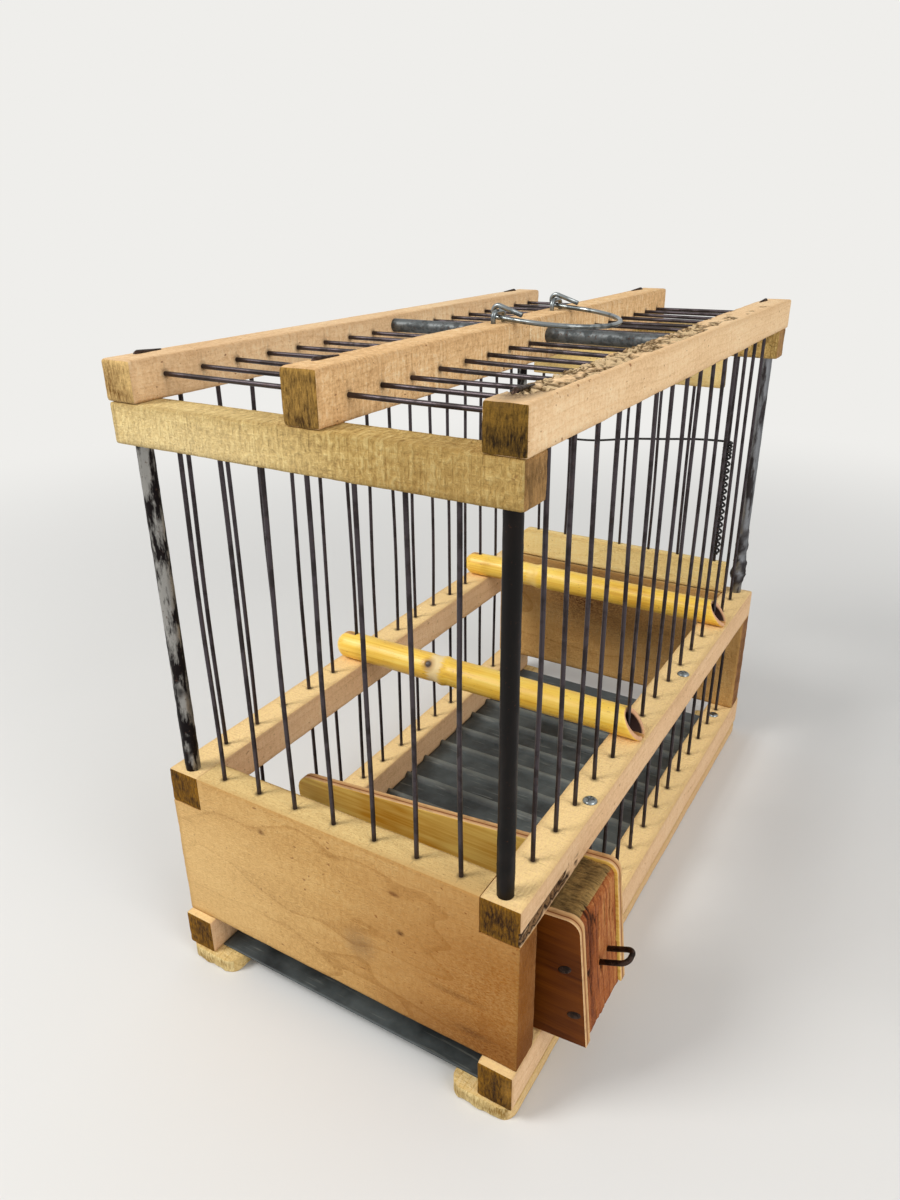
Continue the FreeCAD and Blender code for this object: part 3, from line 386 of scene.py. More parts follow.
door_wood = timber("poplar_door_sawn", ("c0985a", "f8dc96", "fff0b8"), ("5a4420", "b8985a"), "X", ring_mm=5.0,
                   rings=0.06, fibre=0.14, ticks=0.1)
block_wood = timber("fir_block_split", ("5a280c", "a05a2c", "c88e54"), ("4e3c20", "b08e56"), "Z", ring_mm=5.0,
                    pith=(0, 140, -60), wander=30.0, rings=0.14, late=0.6, fibre=0.75, ticks=0.0, blotch=1.0,
                    flecks=0.2, rough=0.7, rips=("150a04", "42220e"))
inner_wood = timber("fir_drawer_dark", ("4b2a12", "8a5a2c", "b98a52"), ("40240e", "8b6030"), "X",
                    ring_mm=3.0, ticks=0.1)
print("timber materials", 7 + len(top_woods))

# %% [markdown]
# ## Making a worn strip
#
# A sawn strip is a box, but a real one has corners that were knocked round, faces that wave a
# little and ends that were chopped.  It could be sculpted by hand, but eighteen strips follow the
# same rule, so a Geometry Nodes tree grows them.  It starts from a fine grid cube and pushes each
# point along the nearest outward direction: inside a rounded box that direction is from the point's
# clamped copy to the point itself, which rounds the corners and gives the normal in one go.

# %% Geometry Nodes helpers
def new_tree(name, **sockets):
    """A geometry tree with named inputs. Returns it, a way to add its nodes, and its inputs."""
    tree = bpy.data.node_groups.new(name, "GeometryNodeTree")
    for label, kind in sockets.items():
        tree.interface.new_socket(name=label, in_out="INPUT", socket_type="NodeSocket" + kind)
    tree.interface.new_socket(name="Geometry", in_out="OUTPUT", socket_type="NodeSocketGeometry")
    add = partial(add_node, tree)
    return tree, add, add("GroupInput").outputs


def close_tree(add, geometry, given):
    """End a tree: smooth shading, real mesh instead of instances, and the finish."""
    real = add("RealizeInstances", add("SetShadeSmooth", geometry))
    add("GroupOutput", add("SetMaterial", real, Material=given["Material"]))


def link_mesh(name, mesh):
    made = bpy.data.objects.new(name, mesh)
    bpy.context.scene.collection.objects.link(made)
    return made


def evaluated_mesh(piece):
    """A plain mesh of a piece as its modifiers leave it."""
    return bpy.data.meshes.new_from_object(piece.evaluated_get(bpy.context.evaluated_depsgraph_get()))


def grow(name, tree, **values):
    """Run a tree on an empty mesh and keep the result as a plain mesh at the origin."""
    seed = link_mesh(name + "_seed", bpy.data.meshes.new(name + "_seed"))
    modifier = seed.modifiers.new("grow", "NODES")
    modifier.node_group = tree
    for item in tree.interface.items_tree:
        if item.in_out == "INPUT":
            modifier[item.identifier] = values[item.name.lower()]
    seed.update_tag()
    mesh = evaluated_mesh(seed)
    mesh.name = name
    mesh.materials.clear()
    mesh.materials.append(values["material"])
    mesh.polygons.foreach_set("material_index", [0] * len(mesh.polygons))
    bpy.data.objects.remove(seed)
    return link_mesh(name, mesh)


def place_piece(piece, body, slot, *nodes):
    """A finished piece rides on a body and stands for its CAD nodes, which are hidden."""
    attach(piece, body)
    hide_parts(*nodes)
    print(piece.name, len(piece.data.polygons), "faces")


print("piece helpers ready")

# %% Start of the strip tree: a grid cube, and how near each point is to edges and ends
strip_tree, add, given = new_tree(
    "worn_strip", Low="Vector", High="Vector", Cell="Float", Round="Float", Wave="Float", Rough="Float",
    Chop="Float", Grain="Vector", Shift="Vector", Material="Material")
FACE_DEPTH, EDGE_REACH = 0.01 * MM, 2.6 * MM
size = add("VectorMath SUBTRACT", given["High"], given["Low"])
centre = add("VectorMath MULTIPLY_ADD", size, (0.5, 0.5, 0.5), given["Low"])
cells = add("VectorMath SCALE", size, Scale=add("Math DIVIDE", 1.0, given["Cell"]))
cells = add("SeparateXYZ", add("VectorMath ADD", cells, (3, 3, 3))).outputs
cube = add("MeshCube", size, cells[0], cells[1], cells[2])
half = add("VectorMath SCALE", size, Scale=0.5)
spot = add("InputPosition")
depth = add("VectorMath SUBTRACT", half, add("VectorMath ABSOLUTE", spot))
axes = add("SeparateXYZ", depth).outputs
least = add("Math MINIMUM", add("Math MINIMUM", axes[0], axes[1]), axes[2])
most = add("Math MAXIMUM", add("Math MAXIMUM", axes[0], axes[1]), axes[2])
total = add("VectorMath DOT_PRODUCT", depth, (1, 1, 1))
middle = add("Math SUBTRACT", add("Math SUBTRACT", total, least), most)
near_edge = add("MapRange", middle, 0.0, EDGE_REACH, 1.0, 0.0)
on_end = add("Math LESS_THAN", add("VectorMath DOT_PRODUCT", depth, given["Grain"]), FACE_DEPTH)
above = add("Math GREATER_THAN", add("SeparateXYZ", spot).outputs[2], 0.0)
on_top = add("Math MULTIPLY", add("Math LESS_THAN", axes[2], FACE_DEPTH), above)
stored = cube
for mark, value, domain in (("edge", near_edge, "POINT"), ("end", on_end, "FACE"), ("top", on_top, "FACE")):
    stored = add("StoreNamedAttribute", stored, Name=mark, Value=value, data_type="FLOAT", domain=domain)
print("strip marks stored")

# %% End of the strip tree: round and roughen
where = add("VectorMath ADD", spot, given["Shift"])
knocks = add("TexNoise", where, Scale=75.0, Detail=2.0)
corner = add("Math MULTIPLY", add("Math MULTIPLY_ADD", knocks, 1.5, 0.2), given["Round"])
inner = add("VectorMath SUBTRACT", half, add("CombineXYZ", corner, corner, corner))
core = add("VectorMath MAXIMUM", spot, add("VectorMath SCALE", inner, Scale=-1.0))
core = add("VectorMath MINIMUM", core, inner)
outward = add("VectorMath NORMALIZE", add("VectorMath SUBTRACT", spot, core))
push = corner
for scale, detail, amount, mask in ((20.0, 1.0, given["Wave"], 1.0), (420.0, 3.0, given["Rough"], 1.0),
                                    (260.0, 3.0, given["Chop"], on_end)):
    lump = add("Math SUBTRACT", add("TexNoise", where, Scale=scale, Detail=detail), 0.5)
    push = add("Math MULTIPLY_ADD", add("Math MULTIPLY", lump, amount), mask, push)
moved = add("VectorMath ADD", add("VectorMath SCALE", outward, Scale=push), core)
close_tree(add, add("SetPosition", stored, Position=add("VectorMath ADD", moved, centre)), given)
GRAINS = {"X": (1.0, 0.0, 0.0), "Y": (0.0, 1.0, 0.0), "Z": (0.0, 0.0, 1.0)}


def strip(name, low, high, material, grain, cell=1.2, rounded=0.8, wave=0.3, rough=0.12, chop=0.5):
    """A worn strip between two corners, in metres; the other sizes are in millimetres."""
    return grow(name, strip_tree, low=tuple(low), high=tuple(high), cell=cell * MM, round=rounded * MM,
                wave=wave * MM, rough=rough * MM, chop=chop * MM, grain=GRAINS[grain],
                shift=tuple(Vector(low) * 3.7), material=material)


print("strip tree", len(strip_tree.nodes), "nodes")

# %% [markdown]
# Some strips have a corner cut round with a knife, such as the feet's ends and the top of the door
# bar.  After the strip is grown, its points in that corner are drawn in to an arc.

# %% Round one corner, and the runners
def round_corner(piece, axes, corner, sides, radius):
    """Draw points beyond an arc back onto it. corner is the sharp corner on two axes, and sides say
    whether it is the low (-1) or the high (1) one on each."""
    centre = [at - side * radius for at, side in zip(corner, sides)]
    for vertex in piece.data.vertices:
        off = [vertex.co[axis] - middle for axis, middle in zip(axes, centre)]
        reach = math.hypot(*off)
        if off[0] * sides[0] > 0 and off[1] * sides[1] > 0 and reach > radius:
            for axis, middle, distance in zip(axes, centre, off):
                vertex.co[axis] = middle + distance * radius / reach


FOOT_CORNER_R = 6.5 * MM
for side in ("left", "right"):
    low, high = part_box("runner_" + side)
    piece = strip("runner_wood_" + side, low, high, runner_wood, "Y", cell=0.9, rounded=1.4, rough=0.3,
                  chop=1.8)
    for end in (-1, 1):
        for x, outer in ((low.x, -1), (high.x, 1)):
            round_corner(piece, (0, 1), (x, end * high.y), (outer, end), FOOT_CORNER_R)
    place_piece(piece, "cage", "runner_wood", "runner_" + side)

# %% [markdown]
# Two strips are ripped.  The right top rail has lost splinters along its upper side, where nails
# were driven and pulled, fewer towards the rear, and the right mid rail has a dark slit along its
# lower outer edge at the front.  There the points are pushed in by a ragged noise and marked
# `torn` for the finish, less where they go deeper, so that the finish paints shade into the deep parts.

# %% Tear a strip
FADE = 9 * MM


def clamp(value):
    return max(0.0, min(1.0, value))


def tear(piece, low, high, axis, depth, cover, tail=FADE):
    """Rip the surface inside a box: push its points in along one axis, as slanting chips, and mark them.

    cover is how much of it is torn, and tail the length at the rear end over which that thins out."""
    values = []
    for vertex in piece.data.vertices:
        co = vertex.co
        if not all(low[i] < co[i] < high[i] for i in range(3)):
            values.append(0.0)
            continue
        fade = min(1.0, (co.y - low[1]) / FADE, (high[1] - co.y) / tail)
        ragged = noise.fractal(Vector((co.x * 200, co.y * 90, co.z * 200)), 0.9, 2.0, 5)
        mask = clamp(cover + ragged * 1.6 - 1.5 * (1 - fade))
        slant = 1.8 * noise.noise(Vector((co.x * 160, co.y * 60, co.z * 160)))
        chips = (co.y * 210 + co.x * 90 + slant) % 1.0
        grit = noise.noise(Vector((co.x * 500, co.y * 500, co.z * 500)))
        pushed = clamp(0.2 + 0.7 * chips ** 2 + 0.3 * grit)
        co[axis] -= depth * mask * pushed
        # The mark drops where the points go deeper, and the finish paints shade there.
        values.append(mask * (1.0 - 0.45 * pushed))
    piece.data.attributes.new("torn", "FLOAT", "POINT").data.foreach_set("value", values)
    print(piece.name, "torn points", sum(v > 0.5 for v in values))


print("rips fade over", FADE / MM, "mm")

# %% Lower rails and mid rails
for side in ("left", "right"):
    low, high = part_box("lower_rail_" + side)
    piece = strip("lower_rail_wood_" + side, low, high, rail_wood, "Y")
    place_piece(piece, "cage", "rail_wood", "lower_rail_" + side)
    low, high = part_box("mid_rail_" + side)
    piece = strip("mid_rail_wood_" + side, low, high, rail_wood, "Y", rounded=0.7, cell=0.9)
    if side == "right":
        tear(piece, (high.x - 0.5 * MM, low.y - 12 * MM, low.z + 1.2 * MM),
             (high.x + 1 * MM, low.y + 44 * MM, low.z + 5.8 * MM), 0, 1.3 * MM, 1.1)
    place_piece(piece, "cage", "rail_wood", "mid_rail_" + side)

# %% [markdown]
# Each end board is notched at its upper corners for the mid rails.  A notched board could be two
# strips, a wide one and a narrow one, but the figure of the wood has to run through both, so the
# notches are cut with a boolean.  The cut has to be crisp, and the rails fill it.

# %% Cut a box out of a piece
def finished(name, shape, material, turn=None, closed=True):
    """End a bmesh as a piece of one material. A closed one has its faces turned outwards."""
    if closed:
        bmesh.ops.recalc_face_normals(shape, faces=shape.faces)
    mesh = bpy.data.meshes.new(name)
    shape.to_mesh(mesh)
    shape.free()
    if turn:
        mesh.transform(turn)
    mesh.materials.append(material)
    return link_mesh(name, mesh)


def cut_box(piece, low, high, mark=None):
    """Cut a box out of a piece and keep the cut's edges crisp. mark is an attribute set to 0.4 on it."""
    low, high = Vector(low), Vector(high)
    shape = bmesh.new()
    bmesh.ops.create_cube(shape, size=1.0)
    stretch = Matrix.Translation((low + high) / 2) @ Matrix.Diagonal((*(high - low), 1))
    tool = finished("cutter", shape, piece.data.materials[0], stretch, closed=False)
    cut = piece.modifiers.new("cut", "BOOLEAN")
    cut.object = tool
    cut.solver = "EXACT"
    mesh = evaluated_mesh(piece)
    piece.modifiers.remove(cut)
    piece.data = mesh
    bpy.data.objects.remove(tool)
    near = 0.001 * MM
    on_cut = []
    for vertex in mesh.vertices:
        gaps = [min(vertex.co[i] - low[i], high[i] - vertex.co[i]) for i in range(3)]
        on_cut.append(-near < min(gaps) < near)
    for edge in mesh.edges:
        if all(on_cut[i] for i in edge.vertices):
            edge.use_edge_sharp = True
    for vertex, touched in zip(mesh.vertices, on_cut):
        if mark and touched:
            mesh.attributes[mark].data[vertex.index].value = 0.4


print("cutting ready")

# %% Boards and crossbars
FIT, BEYOND = 0.1 * MM, 10 * MM
rail_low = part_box("mid_rail_right")[0]
for end in ("front", "rear"):
    low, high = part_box(end + "_board")
    piece = strip(end + "_board_wood", low, high, board_wood, "X", rounded=0.7, wave=0.5)
    for side in (-1, 1):
        xs = sorted((side * (rail_low.x - FIT), side * (high.x + BEYOND)))
        cut_box(piece, (xs[0], low.y - BEYOND, rail_low.z - FIT), (xs[1], high.y + BEYOND, high.z + BEYOND))
    place_piece(piece, "cage", "board_wood", end + "_board")
    low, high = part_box(end + "_crossbar")
    piece = strip(end + "_crossbar_wood", low, high, crossbar_wood, "X", rough=0.2)
    place_piece(piece, "cage", "crossbar_wood", end + "_crossbar")

# %% [markdown]
# ## Top rails
#
# The three top rails lie on the crossbars, with the wires and the rod let into their sides.  They
# differ in how their ends have darkened.  The right one gets a finer grid, for its torn upper side.

# %% Top rails
for side, wood in top_woods.items():
    low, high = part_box("top_rail_" + side)
    piece = strip("top_rail_wood_" + side, low, high, wood, "Y", rounded=1.1, rough=0.16,
                  cell=0.6 if side == "right" else 1.2)
    if side == "right":
        tear(piece, (low.x - 1 * MM, low.y + 8 * MM, high.z - 0.8 * MM),
             (high.x - 2.5 * MM, 105 * MM, high.z + 1 * MM), 2, 1.8 * MM, 0.9, 120 * MM)
    place_piece(piece, "cage", "top_rail_wood", "top_rail_" + side)

# %% [markdown]
# ## Steel
#
# The screen wires are bright wire that has gone dark brown, with a purple tint in their colour that
# paints a reflection.  The corner posts are cut from thicker rod: the near one is black and smooth, the
# two on the left are bright steel under patches of black scale, and the rear right one is a paler grey.
# The rod across the top is zinc coated and blotchy, and the bail and its staples are galvanised.  All are
# the same recipe: a metal whose colour and roughness are mixed by one patchy noise, with rust specks on top.

# %% Metal materials
RUST = linear("4c2f20")


def worn_metal(name, bright, dull, patch_mm, share, rough, rust=0.15, metallic=1.0, long_axis=(1, 1, 1),
               relief=0.35, shine=0.5):
    """Metal with patches of scale: share is how much of it is dull, rough is (bright, dull)."""
    material, add, coat = new_material(name)
    place = add("TexCoord").outputs["Object"]
    mapped = add("Mapping", place, Scale=[1 / (patch_mm * MM * axis) for axis in long_axis])
    patch = add("TexNoise", mapped, Scale=1.0, Detail=5.0, Roughness=0.65)
    mask = add("MapRange", patch, 0.62 - share * 0.3, 0.72 - share * 0.3, 0.0, 1.0)
    mask = add("Math MAXIMUM", mask, add("Attribute", attribute_name="crust").outputs["Fac"])
    fine = add("TexNoise", place, Scale=900.0, Detail=3.0, Roughness=0.7)
    specks = add("MapRange", fine, 0.66 - rust * 0.3, 0.78 - rust * 0.3, 0.0, 0.8)
    colour = add("MixRGB", mask, linear(bright), linear(dull))
    gloss = add("MapRange", mask, 0.0, 1.0, *rough)
    coat(Base_Color=add("MixRGB", specks, colour, RUST),
         Roughness=add("Math MULTIPLY_ADD", specks, 0.3, gloss, use_clamp=True),
         Metallic=add("MapRange", specks, 0.0, 1.0, metallic, 0.2),
         Normal=add("Bump", Height=add("Math ADD", patch, fine), Strength=relief, Distance=0.08 * MM),
         Specular_IOR_Level=shine)
    return material


# The slight purple in the wires' colours is a painted reflection.
screen_steel = worn_metal("steel_wire_browned", "474044", "332d2e", 9.0, 0.5, (0.36, 0.46), metallic=0.85)
black_steel = worn_metal("steel_rod_blackened", "120c0a", "0a0706", 9.0, 0.5, (0.38, 0.48), 0.05, 0.0,
                         (1, 1, 5), shine=0.15)
scaled_steel = worn_metal("steel_rod_scaled", "9a9894", "1d191a", 4.0, 0.66, (0.36, 0.55), 0.2, 0.95,
                          (1, 1, 4))
bright_steel = worn_metal("steel_rod_bright", "84868a", "3a3637", 5.0, 0.4, (0.38, 0.55), 0.15, 0.95,
                          (1, 1, 5))
zinc = worn_metal("zinc_coated_rod", "5e6264", "474b4d", 3.0, 0.5, (0.5, 0.65), 0.3, 0.75)
galvanised = worn_metal("galvanised_wire", "8c9294", "5c6265", 6.0, 0.4, (0.3, 0.42), 0.02, relief=0.1)
black_wire = worn_metal("iron_wire_black", "1e1b1b", "0e0c0c", 3.0, 0.5, (0.42, 0.55), 0.1, 0.4)
iron = worn_metal("iron_wire_rusted", "3a2a22", "20150f", 2.5, 0.5, (0.42, 0.62), 0.35, 0.8)
print("metals", 8)

# %% [markdown]
# ## Rows of wires
#
# Some sixty thin wires stand and lie in rows, and none is quite straight.  They repeat, so one tree
# makes them: points on a line, a short straight curve set on each, and a slow noise that bows each
# wire between its fixed ends.  The noise is fast across the row and slow along the wire, so
# neighbours bow in different ways.

# %% Tree for a row of wires
row_tree, add, given = new_tree(
    "wire_row", First="Vector", Step="Vector", Count="Int", Run="Vector", Radius="Float", Bow="Float",
    Sides="Int", Material="Material")
line = add("MeshLine", given["Count"], Start_Location=given["First"], Offset=given["Step"], mode="OFFSET")
wire = add("ResampleCurve", add("CurvePrimitiveLine", (0, 0, 0), given["Run"]), Count=16)
stood = add("RealizeInstances", add("InstanceOnPoints", line, Instance=wire))
spot = add("InputPosition")
along = add("VectorMath NORMALIZE", given["Run"])
slow = add("VectorMath SCALE", along, Scale=add("VectorMath DOT_PRODUCT", spot, along))
fast = add("VectorMath ADD", spot, add("VectorMath SCALE", slow, Scale=-0.92))
drift = add("TexNoise", fast, Scale=110.0, Detail=0.0).outputs["Color"]
drift = add("VectorMath SUBTRACT", drift, (0.5, 0.5, 0.5))
swell = add("Math SINE", add("Math MULTIPLY", add("SplineParameter"), math.pi))
swell = add("Math MULTIPLY", swell, given["Bow"])
bowed = add("SetPosition", stood, Offset=add("VectorMath SCALE", drift, Scale=swell))
section = add("CurvePrimitiveCircle", given["Sides"], Radius=given["Radius"])
close_tree(add, add("CurveToMesh", bowed, section, Fill_Caps=True), given)
print("wire tree", len(row_tree.nodes), "nodes")


def wires(name, first, run, material, step=(0, 0, 0), count=1, radius=WIRE_R, bow=2.6, sides=10):
    """A row of wires: each starts a step from the one before and runs the same way. bow is in millimetres."""
    return grow(name, row_tree, first=first, step=step, count=count, run=run, radius=radius, bow=bow * MM,
                sides=sides, material=material)


def joined(name, pieces):
    """Several meshes of one body and one material as one mesh."""
    shape = bmesh.new()
    for piece in pieces:
        shape.from_mesh(piece.data)
    material = pieces[0].data.materials[0]
    for piece in pieces:
        bpy.data.objects.remove(piece)
    return finished(name, shape, material, closed=False)


# %% Screen wires
pitch = side_row["pitch"]
low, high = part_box("side_wires_left")
stand = (0, 0, high.z - low.z)
left = wires("side_wires_left_steel", (-side_x, side_row["start"], low.z), stand, screen_steel, (0, pitch, 0),
             SIDE_COUNT)
place_piece(left, "cage", "screen_wire", "side_wires_left")
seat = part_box("front_wires")[0].z
short = wires("short", (side_x, side_row["start"], seat), (0, 0, high.z - seat), screen_steel, (0, pitch, 0),
              DRAWER_COUNT)
long = wires("long", (side_x, side_row["start"] + DRAWER_COUNT * pitch, low.z), stand, screen_steel,
             (0, pitch, 0), SIDE_COUNT - DRAWER_COUNT)
place_piece(joined("side_wires_right_steel", [short, long]), "cage", "screen_wire", "side_wires_right")
low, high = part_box("front_wires")
front = wires("front_wires_steel", (front_row["start"], front_y, low.z), (0, 0, high.z - low.z), screen_steel,
              (front_row["pitch"], 0, 0), FRONT_COUNT)
place_piece(front, "cage", "screen_wire", "front_wires")
low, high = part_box("top_wires")
pitch = top_row["pitch"]
halves = [wires("top", (low.x, start, middle_of("top_wires").z), (high.x - low.x, 0, 0), screen_steel,
                (0, pitch, 0), TOP_HALF_COUNT, bow=1.6) for start in (low.y + WIRE_R, pitch)]
place_piece(joined("top_wires_steel", halves), "cage", "screen_wire", "top_wires")
low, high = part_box("door_wires")
door_row = wire_row("door_wires", 0, DOOR_COUNT)
door = wires("door_wires_steel", (door_row["start"], middle_of("door_wires").y, low.z),
             (0, 0, high.z - low.z), screen_steel, (door_row["pitch"], 0, 0), DOOR_COUNT)
place_piece(door, "door", "screen_wire", "door_wires")

# %% Pivot wire and rod
low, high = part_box("door_pivot_wire")
pivot_x, door_y = middle_of("door_pivot_wire").xy
pivot = wires("pivot_wire_steel", (pivot_x, door_y, low.z), (0, 0, high.z - low.z), screen_steel, bow=0)
place_piece(pivot, "cage", "screen_wire", "door_pivot_wire")
low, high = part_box("cross_rod")
ROD_R = 2.75 * MM
bar = wires("cross_rod_zinc", (low.x, *middle_of("cross_rod").yz), (high.x - low.x, 0, 0), zinc, radius=ROD_R,
            bow=0.3, sides=40)
place_piece(bar, "cage", "zinc_steel", "cross_rod")

# %% [markdown]
# ## Bent wires
#
# The bail, its staples, the drawer's pull, the hammered nails and the door's wound wire are all
# bent by hand.  Each is a path of points with a round section carried along it.  The section is
# turned from point to point by the smallest rotation, which keeps it from twisting.

# %% Sweep a section along a path
def turns_of(sides):
    """Angles once round a circle."""
    return [2 * math.pi * step / sides for step in range(sides)]


def bridge(shape, rings):
    """Smooth faces between rings of points that each close on themselves. A ring of one point is a tip."""
    for ring, following in zip(rings, rings[1:]):
        for step in range(max(len(ring), len(following))):
            near, far = [(r[step % len(r)], r[(step + 1) % len(r)]) for r in (ring, following)]
            shape.faces.new(list(dict.fromkeys((*near, *far[::-1])))).smooth = True


def sweep(name, points, radius, material, sides=12, squash=1.0):
    """A closed tube along points. radius is one number, or one for each point."""
    radii = radius if isinstance(radius, list) else [radius] * len(points)
    shape = bmesh.new()
    heading = (points[1] - points[0]).normalized()
    across = heading.orthogonal().normalized()
    rings = []
    for i, point in enumerate(points):
        before, after = points[max(i - 1, 0)], points[min(i + 1, len(points) - 1)]
        new_heading = (after - before).normalized()
        across = heading.rotation_difference(new_heading) @ across
        across = (across - new_heading * across.dot(new_heading)).normalized()
        heading = new_heading
        other = heading.cross(across)
        around = [across * math.cos(t) + other * math.sin(t) * squash for t in turns_of(sides)]
        rings.append([shape.verts.new(point + radii[i] * out) for out in around])
    bridge(shape, rings)
    for ring in (rings[0][::-1], rings[-1]):
        shape.faces.new(ring).smooth = True
    return finished(name, shape, material)


def bent(corners, bend, steps=8):
    """Points along straight runs with an arc of one radius at each inner corner."""
    corners = [Vector(corner) for corner in corners]
    points = [corners[0]]
    for a, b, c in zip(corners, corners[1:], corners[2:]):
        back, ahead = (a - b).normalized(), (c - b).normalized()
        half = back.angle(ahead) / 2
        start, stop = b + back * (bend / math.tan(half)), b + ahead * (bend / math.tan(half))
        centre = b + (back + ahead).normalized() * (bend / math.sin(half))
        first, last = (start - centre).normalized(), (stop - centre).normalized()
        for step in range(steps + 1):
            points.append(centre + first.slerp(last, step / steps) * (start - centre).length)
    return points + [corners[-1]]


print("sweeping ready")

# %% [markdown]
# The corner posts are straight, so they are swept too, but with many points: their skin of scale
# stands up in small lumps, and the rear right one has a thick crust round its foot, where it was
# once heated.

# %% Posts
def crusted(post, foot_z, foot_depth, foot_height):
    """Push the skin of an upright post out into lumps of scale, most of all just above its foot."""
    centre = sum((vertex.co for vertex in post.data.vertices), Vector()) / len(post.data.vertices)
    crust = []
    for vertex in post.data.vertices:
        co = vertex.co
        away = Vector((co.x - centre.x, co.y - centre.y, 0))
        scale = 0.12 * MM * max(0.0, noise.fractal(co * 220, 0.8, 2.0, 3))
        up = (co.z - foot_z) / foot_height
        swell = 0.0
        if 0.0 < up < 1.0:
            lump = noise.fractal(Vector((co.x, co.y, co.z * 0.6)) * 260, 0.9, 2.0, 4)
            swell = max(0.0, 0.35 + lump) * min(1.0, 6 * up) * (1.0 - up) ** 0.5
        crust.append(min(1.0, 2.2 * swell))
        vertex.co += away.normalized() * (scale + foot_depth * swell)
    post.data.attributes.new("crust", "FLOAT", "POINT").data.foreach_set("value", crust)


POST_STEPS = 150
POST_STEEL = {"front_left": scaled_steel, "front_right": black_steel, "rear_left": scaled_steel,
              "rear_right": bright_steel}
foot_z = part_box("mid_rail_right")[1].z
for corner, steel in POST_STEEL.items():
    node = "corner_post_" + corner
    low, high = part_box(node)
    x, y = middle_of(node).xy
    points = [Vector((x, y, low.z + (high.z - low.z) * step / POST_STEPS)) for step in range(POST_STEPS + 1)]
    post = sweep(node + "_rod", points, ROD_R, steel, 28)
    crusted(post, foot_z, 1.7 * MM if corner == "rear_right" else 0.25 * MM, 42 * MM)
    place_piece(post, "cage", "post_steel", node)

# %% [markdown]
# The drawer leans: its inner end rests low on the tray, and its outer end stands high between the
# rails.  Its pieces are drawn level here too, and then tilted about the inner edge of the lower
# rail.  The slope comes from the drawer's joint axis.

# %% The drawer's slope and measures
slide = [joint for joint in frame["joints"] if joint["name"] == "drawer_slide"][0]
tilt = math.atan2(slide["axis"][2], slide["axis"][0])
rail_low, rail_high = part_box("lower_rail_right")
hinge_line = Vector((rail_low.x, 0, rail_high.z + 0.2 * MM))
to_tilted = Matrix.Translation(hinge_line) @ Matrix.Rotation(-tilt, 4, "Y") @ Matrix.Translation(-hinge_line)
DRAWER_FRONT, DRAWER_BACK, PLY = -123.0 * MM, -86.3 * MM, 4.0 * MM
FLOOR_Z, TOP_Z = hinge_line.z, hinge_line.z + 52.2 * MM
OUTER_X, INNER_X, BLOCK_X = hinge_line.x + 30.5 * MM, hinge_line.x - 115 * MM, hinge_line.x + 9 * MM
print("drawer slope", round(math.degrees(tilt), 2), "degrees")

# %% [markdown]
# ## Drawer
#
# Its sides are 4 mm plywood, varnished dark outside, with the cut edges left raw: cream layers with
# a thin reddish one between.  A plate is an outline pushed across the thickness.  The rim faces are
# marked, so that one finish can show varnish on the flats and layers on the rim.  The layers follow
# the plate's own thickness, which runs along Y and so isn't changed by the tilt.

# %% Plywood finish
def plywood(name, face_tones, low_y, grain):
    """Varnished plywood with a raw layered rim. low_y is the lower face of the sheet."""
    material, add, coat = new_material(name)
    along = turned_to_grain(add, grain)
    place = add("TexCoord").outputs["Object"]
    fibres = stretched_noise(add, along, (0.03, 0.8, 0.8), 4.0, 0.6)
    cloud = stretched_noise(add, along, (0.03, 0.05, 0.05), 2.0, 0.5)
    mottle = add("Math MULTIPLY", add("Math ADD", fibres, cloud), 0.5)
    face = set_stops(add("ValToRGB", mottle), (0.35, 0.66), face_tones)
    wobble = add("TexNoise", place, Scale=60.0, Detail=3.0)
    depth = add("Math SUBTRACT", add("SeparateXYZ", place).outputs[1], low_y)
    depth = add("Math MULTIPLY_ADD", wobble, 0.12, add("Math DIVIDE", depth, PLY))
    layers = set_stops(add("ValToRGB", depth), (0.0, 0.1, 0.36, 0.48, 0.6, 0.9),
                       ("6e3c1a", "d8b486", "c2966a", "6c3418", "b88c5e", "cfa878"))
    layers.color_ramp.interpolation = "EASE"
    grime = stretched_noise(add, along, (0.12, 0.3, 0.3), 4.0, 0.7)
    raw = add("MixRGB", add("MapRange", grime, 0.5, 0.75, 0.0, 0.7), layers, linear("7a5a36"))
    rim = add("Attribute", attribute_name="rim").outputs["Fac"]
    height = add("Math ADD", fibres, wobble)
    coat(Base_Color=add("MixRGB", rim, face, raw), Roughness=add("MapRange", rim, 0.0, 1.0, 0.45, 0.85),
         Normal=add("Bump", Height=height, Strength=0.3, Distance=0.2 * MM), Specular_IOR_Level=0.08)
    return material


front_ply = plywood("plywood_front_varnished", ("4e2204", "7c420e"), DRAWER_FRONT, "X")
rear_ply = plywood("plywood_rear_varnished", ("d0922a", "ffe07c"), DRAWER_BACK - PLY, "X")
print("plywood", front_ply.name, rear_ply.name)

# %% Plates of plywood
def arc_points(centre, radius, start, stop, steps=8):
    """Points of an arc in the XZ plane, angles in degrees."""
    turns = [math.radians(start + (stop - start) * step / steps) for step in range(steps + 1)]
    return [(centre[0] + radius * math.cos(t), centre[1] + radius * math.sin(t)) for t in turns]


